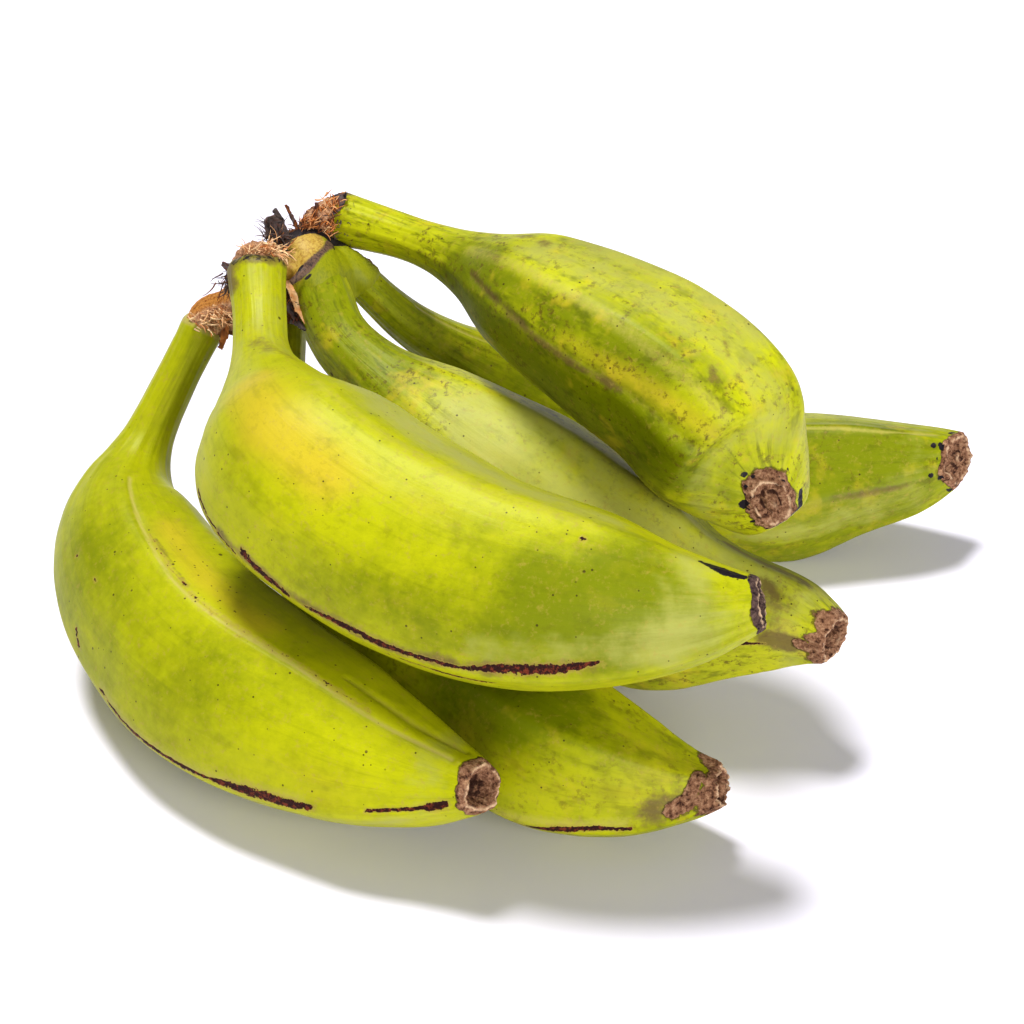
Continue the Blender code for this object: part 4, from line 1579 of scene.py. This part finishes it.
@dataclass(frozen=True)
class Crown:
    """The torn pad that the stalks grow from, with its scabs, shreds and strands."""

    node: str = "crown"
    voxel_mm: float = 0.38
    pad: Limb = Limb(
        (
            (-66, 48, 62, 3.5),
            (-61, 47.5, 66, 5.2),
            (-55, 48.5, 71, 6.2),
            (-49, 50.5, 74.5, 6),
            (-44, 53.5, 75, 5.4),
            (-41.5, 58.5, 76, 4.4),
        )
    )
    collars: tuple[Limb, ...] = (
        Limb(((-63, 48, 65.5, 4.2), (-66.5, 47.7, 64, 4.5), (-69.3, 46.6, 60.6, 4.3))),
        Limb(((-55, 48, 73, 5), (-55.3, 44, 78, 5.4), (-55.5, 38.6, 81.6, 5.6))),
        Limb(((-51, 52, 72, 5.2), (-51, 57, 64, 4.6), (-51.5, 57, 55.8, 4.2))),
        Limb(
            (
                (-48, 52.5, 76, 5.2), (-46.3, 50, 77.5, 6.2), (-44.7, 47.6, 76.2, 6.6),
                (-43.4, 45.6, 73.5, 6.6), (-42.6, 44.2, 71.8, 5.9), (-42, 43.2, 70.6, 3.6),
            ),
        ),
        Limb(((-45, 57, 77, 3.8), (-42.5, 59.5, 79.5, 4.6), (-38.6, 61.2, 80.5, 5.1))),
        Limb(
            (
                (-42, 52.5, 74.5, 4.6), (-38.5, 52, 74.5, 4.3), (-35.2, 51.6, 72.2, 4.2),
                (-33.2, 51.6, 70.1, 4.2), (-32, 51.7, 68.6, 2.6),
            ),
        ),
    )
    extras: tuple[Limb, ...] = (
        Limb(
            ((-49.5, 44, 77.5, 3), (-48, 46, 79, 3.6), (-46, 48.6, 80, 3.4), (-43.5, 51, 79.6, 2.6)), 0.8
        ),
        Limb(((-43.5, 49.5, 76.5, 5), (-40, 49, 74.6, 4.4), (-37.5, 49, 71.5, 3), (-35.5, 48, 68, 1.4))),
        Limb(
            (
                (-50.8, 45.5, 79.2, 0.8), (-50.3, 48.6, 81.6, 1.1), (-47.5, 50.5, 82.6, 1.3),
                (-43, 52.5, 80.8, 1.3), (-38, 54.5, 77, 0.9),
            ),
        ),
        Limb(((-47, 53.5, 79, 3), (-44.5, 55, 80.6, 3.2), (-42, 58, 82, 3.6), (-39.5, 60.5, 82.6, 3.8))),
        Limb(
            (
                (-40.2, 50.4, 80.2, 0.8), (-42.6, 45.4, 80, 1.0), (-45.3, 42.1, 78.7, 1.0),
                (-48.6, 40, 76.8, 0.8),
            ),
        ),
    )
    marks: tuple[Mark, ...] = (
        Mark(Layer.GREEN, 7, 1.6, ((-42, 41, 76), (-40, 40, 73), (-38.5, 40, 70))),
        Mark(Layer.GREEN, 6, 1.6, ((-39, 48, 77), (-36, 47.5, 72), (-32, 47.5, 68))),
        Mark(Layer.TAN, 3.9, 1.3, ((-49, 43.5, 79), (-47.5, 45, 81), (-45.5, 47.5, 82.5))),
        Mark(Layer.ORANGE, 4.8, 1.3, ((-72, 47.5, 64), (-67, 47.5, 68), (-61.5, 46.5, 71))),
        Mark(Layer.FIBRE, 3.6, 1.2, ((-69, 43.5, 62.5), (-66, 42.5, 65), (-62.5, 42, 66.5))),
        Mark(Layer.RUST, 3, 1.0, ((-51, 47.5, 75), (-49.5, 42, 71), (-48, 39, 68))),
        Mark(Layer.BARK, 2.6, 1.1, ((-60, 42, 76), (-61.5, 39, 79.5), (-58, 41, 82))),
        Mark(
            Layer.BARK, 1.0, 1.4,
            ((-40.2, 50, 81), (-42.6, 45, 80.8), (-45.3, 41.7, 79.5), (-48.6, 39.6, 77.6)),
        ),
        Mark(
            Layer.CHAR, 0.42, 1.0,
            ((-39.6, 49.2, 80), (-41.8, 44.2, 79.7), (-44.5, 41, 78.2), (-47.8, 39, 76.4)),
        ),
        Mark(
            Layer.CHAR, 0.42, 0.9,
            ((-41, 50.6, 81), (-43.4, 45.8, 80.9), (-46, 42.4, 79.7), (-49.2, 40.4, 77.8)),
        ),
        Mark(Layer.FIBRE, 5, 1.2, ((-58, 40, 83.5), (-52, 40, 83.5))),
        Mark(Layer.FIBRE, 4.5, 1.0, ((-42, 57, 84), (-39.5, 59, 86))),
        Mark(
            Layer.CHAR, 1.4, 1.4,
            ((-51.2, 45, 79.5), (-50.8, 48.5, 82.2), (-47.5, 50, 83.6), (-43, 52, 81.8), (-38, 54, 77.6)),
        ),
    )
    tufts: tuple[Tuft, ...] = (
        Tuft(
            ((-70, 44.6, 64), (-66.5, 43.6, 66), (-63.5, 42.6, 67.5)), (0.8, -0.2, -0.4), count=130,
            spread_mm=2.2, length_mm=3.4, width_mm=0.19, tone=0.85, tone_spread=0.15, curl=0.3,
        ),
        Tuft(
            ((-58.5, 41, 83.6), (-55, 41.5, 84.4), (-51, 40.5, 83.8)), (0.7, -0.3, 0.2), count=150,
            spread_mm=1.4, length_mm=3.8, width_mm=0.22, tone=0.86, tone_spread=0.12, curl=0.6,
        ),
        Tuft(
            ((-46.5, 53, 82.5), (-43.5, 54.5, 82.5), (-40, 56, 81)), (0.2, -0.25, 0.8), count=150,
            spread_mm=2.2, length_mm=4.0, width_mm=0.19, tone=0.45, tone_spread=0.18, curl=0.8,
        ),
        Tuft(
            ((-42.5, 57, 84), (-40, 59, 86)), (0.1, -0.5, 0.6), count=90, spread_mm=2.2, length_mm=3.2,
            width_mm=0.19, tone=0.7, tone_spread=0.16, curl=0.7,
        ),
        Tuft(
            ((-50.3, 46, 80.5), (-51.5, 46, 84)), (-0.1, -0.1, 0.9), count=60, spread_mm=1.4,
            length_mm=4.6, width_mm=0.15, tone=0.4, tone_spread=0.25, curl=0.5,
        ),
        Tuft(
            ((-50.5, 45.5, 82), (-53, 45.5, 86)), (-0.1, -0.1, 0.9), count=110, spread_mm=2.0,
            length_mm=4.2, width_mm=0.15, tone=0.17, tone_spread=0.05, curl=0.8,
        ),
        Tuft(
            ((-38.5, 56.5, 79.5), (-36.5, 57.5, 83)), (0.5, -0.6, 0.3), count=110, spread_mm=2.4,
            length_mm=3.0, width_mm=0.17, tone=0.17, tone_spread=0.06, curl=0.7,
        ),
        Tuft(
            ((-60.5, 38, 80.6), (-61.5, 38.5, 78)), (-0.1, -0.4, -0.9), count=90, spread_mm=1.8,
            length_mm=4.0, width_mm=0.16, tone=0.2, tone_spread=0.1, curl=0.5,
        ),
        Tuft(
            ((-37.5, 57.5, 79.5), (-35.5, 56, 80)), (0.4, -0.5, 0.3), count=50, spread_mm=1.8,
            length_mm=2.8, width_mm=0.15, tone=0.25, tone_spread=0.15, curl=0.8,
        ),
        Tuft(
            ((-48.7, 40.5, 73.5), (-47, 38.5, 69.5)), (0.2, -0.4, -0.7), count=50, spread_mm=1.2,
            length_mm=2.6, width_mm=0.15, tone=0.3, tone_spread=0.15, curl=0.6,
        ),
    )
    scraps: tuple[Scrap, ...] = (
        Scrap(
            (
                (-50.2, 45.5, 79.5, 1.1), (-50.6, 46, 83, 1.5), (-52.5, 46.2, 86, 2.3),
                (-53.2, 46.4, 88.6, 2.2), (-52, 47, 90, 1.4),
            ),
            thick_mm=0.6, cup_mm=1.0, crumple_mm=1.2, twist=0.5, tone=0.15, tone_spread=0.16, seed=1.0,
        ),
        Scrap(
            ((-50, 46.5, 80, 0.8), (-50.2, 47, 84, 1.0), (-51, 47.5, 88, 1.0), (-51.8, 47.5, 91.2, 0.4)),
            thick_mm=0.5, cup_mm=0.4, crumple_mm=0.6, twist=0.9, tone=0.16, tone_spread=0.2, seed=2.0,
        ),
        Scrap(
            ((-47, 52, 81, 1.0), (-48, 52, 84, 0.7), (-49, 52, 86.5, 0.5), (-50, 52, 89.3, 0.25)),
            thick_mm=0.5, cup_mm=0.3, crumple_mm=0.4, twist=0.6, tone=0.28, tone_spread=0.3, seed=3.0,
        ),
        Scrap(
            ((-43.8, 55, 81.5, 1.4), (-43.3, 55, 85, 0.9), (-43.4, 55.2, 88, 0.35)), thick_mm=0.5,
            cup_mm=0.4, crumple_mm=0.5, twist=0.4, tone=0.35, tone_spread=0.3, seed=4.0,
        ),
        Scrap(
            (
                (-49.6, 42.3, 76, 1.2), (-47.8, 39.6, 73, 1.3), (-46.2, 38, 70.2, 1.2),
                (-45.2, 37.2, 68, 0.9),
            ),
            thick_mm=0.6, cup_mm=0.4, crumple_mm=0.4, twist=0.3, tone=0.8, tone_spread=0.2, seed=5.0,
        ),
        Scrap(
            ((-50.2, 42, 73.5, 1.6), (-48.6, 39.8, 70.5, 1.8), (-46.8, 38.2, 67.8, 1.6)), thick_mm=0.6,
            cup_mm=0.6, crumple_mm=0.7, twist=0.2, tone=0.22, tone_spread=0.2, seed=6.0,
        ),
        Scrap(
            ((-48.6, 38.6, 68.6, 1.0), (-46.4, 37.4, 67.6, 1.5), (-44.6, 37, 67.4, 1.3)), thick_mm=1.2,
            cup_mm=0.4, crumple_mm=0.7, twist=0.2, tone=0.08, tone_spread=0.15, seed=7.0,
        ),
        Scrap(
            ((-63, 43.4, 65, 1.0), (-63.6, 42.6, 62, 1.0), (-64.6, 41.8, 59, 0.5)), thick_mm=0.5,
            cup_mm=0.3, crumple_mm=0.3, twist=0.2, tone=0.5, tone_spread=0.2, seed=8.0,
        ),
        Scrap(
            ((-61.5, 44, 79, 1.6), (-61.8, 40.5, 80.5, 1.5), (-61.2, 38, 81.5, 1.2)), thick_mm=0.6,
            cup_mm=0.5, crumple_mm=0.7, twist=0.2, tone=0.16, tone_spread=0.35, seed=9.0,
        ),
        Scrap(
            ((-40.5, 57, 84, 1.4), (-38.5, 58.5, 86, 1.6), (-37.4, 60.5, 87, 1.2)), thick_mm=0.6,
            cup_mm=0.5, crumple_mm=0.8, twist=0.3, tone=0.2, tone_spread=0.35, seed=10.0,
        ),
        Scrap(
            ((-39, 56.5, 80, 1.8), (-37, 56.3, 80.5, 2.2), (-35.4, 56.2, 81.5, 1.6)), thick_mm=0.6,
            cup_mm=0.7, crumple_mm=0.8, twist=0.4, tone=0.22, tone_spread=0.3, seed=11.0,
        ),
    )
    seed: int = 7

    # Relief in mm and the width of its lumps, over the whole pad and on torn tissue
    LUMP_MM = 0.15
    LUMP_WIDTH_MM = 4
    TORN_MM = 0.55
    TORN_WIDTH_MM = 1.6

    def build(self) -> list[bpy.types.Object]:
        """Makes the pad, the strands and the shreds, and hands them over."""
        material = FibreFinish().build()
        return [self._tissue(), self._strands(material), self._shreds(material)]

    def _fused(self, name: str) -> bpy.types.Object:
        """The pad, the collars and the extra lumps, fused into one smooth skin."""
        points, faces = [], []
        for limb in (self.pad, *self.collars, *self.extras):
            own_points, own_faces = limb.tube()
            start = sum(len(p) for p in points)
            points.append(own_points)
            faces += [tuple(start + index for index in face) for face in own_faces]
        rough = MeshCraft.new_object("crown_rough", np.vstack(points), faces)
        remesh = rough.modifiers.new("fuse", "REMESH")
        remesh.mode = "VOXEL"
        remesh.voxel_size = self.voxel_mm * MM
        smooth = rough.modifiers.new("ease", "SMOOTH")
        smooth.iterations = 3
        shaped = rough.evaluated_get(bpy.context.evaluated_depsgraph_get())
        mesh = bpy.data.meshes.new_from_object(shaped)
        bpy.data.objects.remove(rough, do_unlink=True)
        mesh.name = name
        mesh.shade_smooth()
        item = bpy.data.objects.new(name, mesh)
        bpy.context.scene.collection.objects.link(item)
        return item

    def _tissue(self) -> bpy.types.Object:
        """The fused tissue, roughened and painted."""
        item = self._fused("torn_crown")
        mesh = item.data
        place = np.array([v.co for v in mesh.vertices])
        normal = np.array([v.normal for v in mesh.vertices])
        painted = {layer: np.zeros(len(place)) for layer in CROWN_LAYERS}
        for mark in self.marks:
            line = placed(tuple(map(tuple, mark.line())))
            fall = np.clip(mark.strength * mark.fall(place, line), 0, 1)
            painted[mark.layer] = 1 - (1 - painted[mark.layer]) * (1 - fall)
        living = painted[Layer.GREEN] + painted[Layer.TAN] + 0.6 * painted[Layer.ORANGE]
        torn = self.TORN_MM * (1 - np.clip(living, 0, 1))
        relief = self.LUMP_MM * grain(place, self.LUMP_WIDTH_MM, 3.3, 2)
        relief = relief + torn * grain(place, self.TORN_WIDTH_MM, 5.1, 4)
        place = place + normal * relief[:, None] * MM
        mesh.vertices.foreach_set("co", place.ravel())
        mesh.update()
        for layer in CROWN_LAYERS:
            MeshCraft.set_numbers(item, layer.value, painted[layer])
        MeshCraft.deliver(item, self.node, CrownFinish().build())
        return item

    def _strands(self, material: bpy.types.Material) -> bpy.types.Object:
        """Every torn strand, as one piece."""
        random = np.random.default_rng(self.seed)
        grids, tones = [], []
        for tuft in self.tufts:
            own_grids, own_tones = tuft.strands(random)
            grids += own_grids
            tones += own_tones
        spread = [np.full(grid.shape[:2], tone) for grid, tone in zip(grids, tones)]
        return self._joined("crown_strands", grids, spread, material)

    def _shreds(self, material: bpy.types.Material) -> bpy.types.Object:
        """Every dried shred of skin, as one piece."""
        grids, tones = zip(*(scrap.grid() for scrap in self.scraps))
        return self._joined("crown_shreds", list(grids), list(tones), material)

    def _joined(
        self, name: str, grids: list[Array], tones: list[Array], material: bpy.types.Material
    ) -> bpy.types.Object:
        """Closed tubes joined into one piece that carries a tone at each point.

        Args:
            name: The piece's name.
            grids: Rings of each tube.
            tones: The tone at each of their points.
            material: What the piece is made of.

        Returns:
            The finished piece.
        """
        points, faces, values = [], [], []
        start = 0
        for grid, tone in zip(grids, tones):
            own_points, own_faces = MeshCraft.closed_tube(grid)
            faces += [tuple(start + index for index in face) for face in own_faces]
            points.append(own_points)
            values.append(np.concatenate([tone.ravel(), [tone[0].mean(), tone[-1].mean()]]))
            start += len(own_points)
        item = MeshCraft.new_object(name, np.vstack(points), faces)
        MeshCraft.set_numbers(item, "tone", np.concatenate(values))
        MeshCraft.deliver(item, self.node, material)
        return item


@dataclass(frozen=True)
class Studio:
    """A white floor, a soft light from above and behind, and the photograph's camera."""

    elevation: float = 35.0
    distance: float = 0.85
    aim: tuple[float, float, float] = (-0.00245, 0.0635, 0.0)
    lens_mm: float = 128.5
    sensor_mm: float = 36.0
    floor_size: float = 12.0
    floor_paint: Paint = (238, 235, 248)
    floor_cloud: Paint = (230, 228, 240)
    floor_drop_mm: float = 0.05
    sun_from: tuple[float, float, float] = (-0.2, 0.21, 1.0)
    sun_strength: float = 3.6
    sun_spread: float = 15.0
    fill_from: tuple[float, float, float] = (0.42, -0.86, 0.28)
    fill_strength: float = 2.9
    fill_spread: float = 45.0
    room_strength: float = 0.28
    room_paint: Paint = (255, 255, 255)
    gamma: float = 0.88

    def build(self) -> None:
        """Sets up the floor, the lights and the camera."""
        self._floor()
        self._lights()
        self._camera()
        view = bpy.context.scene.view_settings
        view.view_transform = "Standard"
        view.gamma = self.gamma

    def _floor(self) -> None:
        """A plain white floor just under the hand."""
        half = self.floor_size / 2
        corners = np.array([(-half, -half, 0), (half, -half, 0), (half, half, 0), (-half, half, 0)])
        floor = MeshCraft.new_object(
            "studio_floor", corners - (0, 0, self.floor_drop_mm * MM), [(0, 1, 2, 3)]
        )
        sheet = NodeSheet("white_floor")
        cloud = sheet.noise(sheet.place(), size_mm=90, detail=2)
        colour = sheet.mix(self.floor_paint, self.floor_cloud, sheet.times(cloud, 0.3))
        material = sheet.finish(colour, 0.7, Specular_IOR_Level=0.2)
        floor.data.materials.append(material)

    def _lights(self) -> None:
        """A soft sun for the shadows, a softer one from the front and an even white room."""
        self._lamp("soft_sun", self.sun_from, self.sun_strength, self.sun_spread)
        self._lamp("front_fill", self.fill_from, self.fill_strength, self.fill_spread)
        world = bpy.data.worlds.new("white_room")
        world.use_nodes = True
        background = world.node_tree.nodes["Background"]
        background.inputs["Color"].default_value = linear(self.room_paint)
        background.inputs["Strength"].default_value = self.room_strength
        bpy.context.scene.world = world

    def _lamp(self, name: str, origin: tuple, strength: float, spread: float) -> None:
        """A sun lamp that shines from the origin's side.

        Args:
            name: The lamp's name.
            origin: The direction that the light comes from.
            strength: How bright it is.
            spread: Its width in the sky in degrees, which softens the shadows.
        """
        data = bpy.data.lights.new(name, "SUN")
        data.energy = strength
        data.angle = math.radians(spread)
        lamp = bpy.data.objects.new(name, data)
        lamp.rotation_mode = "QUATERNION"
        lamp.rotation_quaternion = Vector(origin).to_track_quat("Z", "Y")
        bpy.context.scene.collection.objects.link(lamp)

    def _camera(self) -> None:
        """The camera that looks down at the hand as the photograph does."""
        tilt = math.radians(self.elevation)
        ahead = Vector((0, math.cos(tilt), -math.sin(tilt)))
        data = bpy.data.cameras.new("photo_camera")
        data.lens = self.lens_mm
        data.sensor_width = self.sensor_mm
        data.dof.use_dof = False
        camera = bpy.data.objects.new("photo_camera", data)
        camera.location = Vector(self.aim) - ahead * self.distance
        camera.rotation_mode = "QUATERNION"
        camera.rotation_quaternion = ahead.to_track_quat("-Z", "Y")
        bpy.context.scene.collection.objects.link(camera)
        bpy.context.scene.camera = camera


def main() -> None:
    """Builds the fingers, the crown and the studio in order."""
    logging.basicConfig(level=logging.INFO, format="%(message)s")
    for finger in FINGERS:
        finger.build()
    Crown().build()
    Studio().build()


if __name__ == "__main__":
    main()
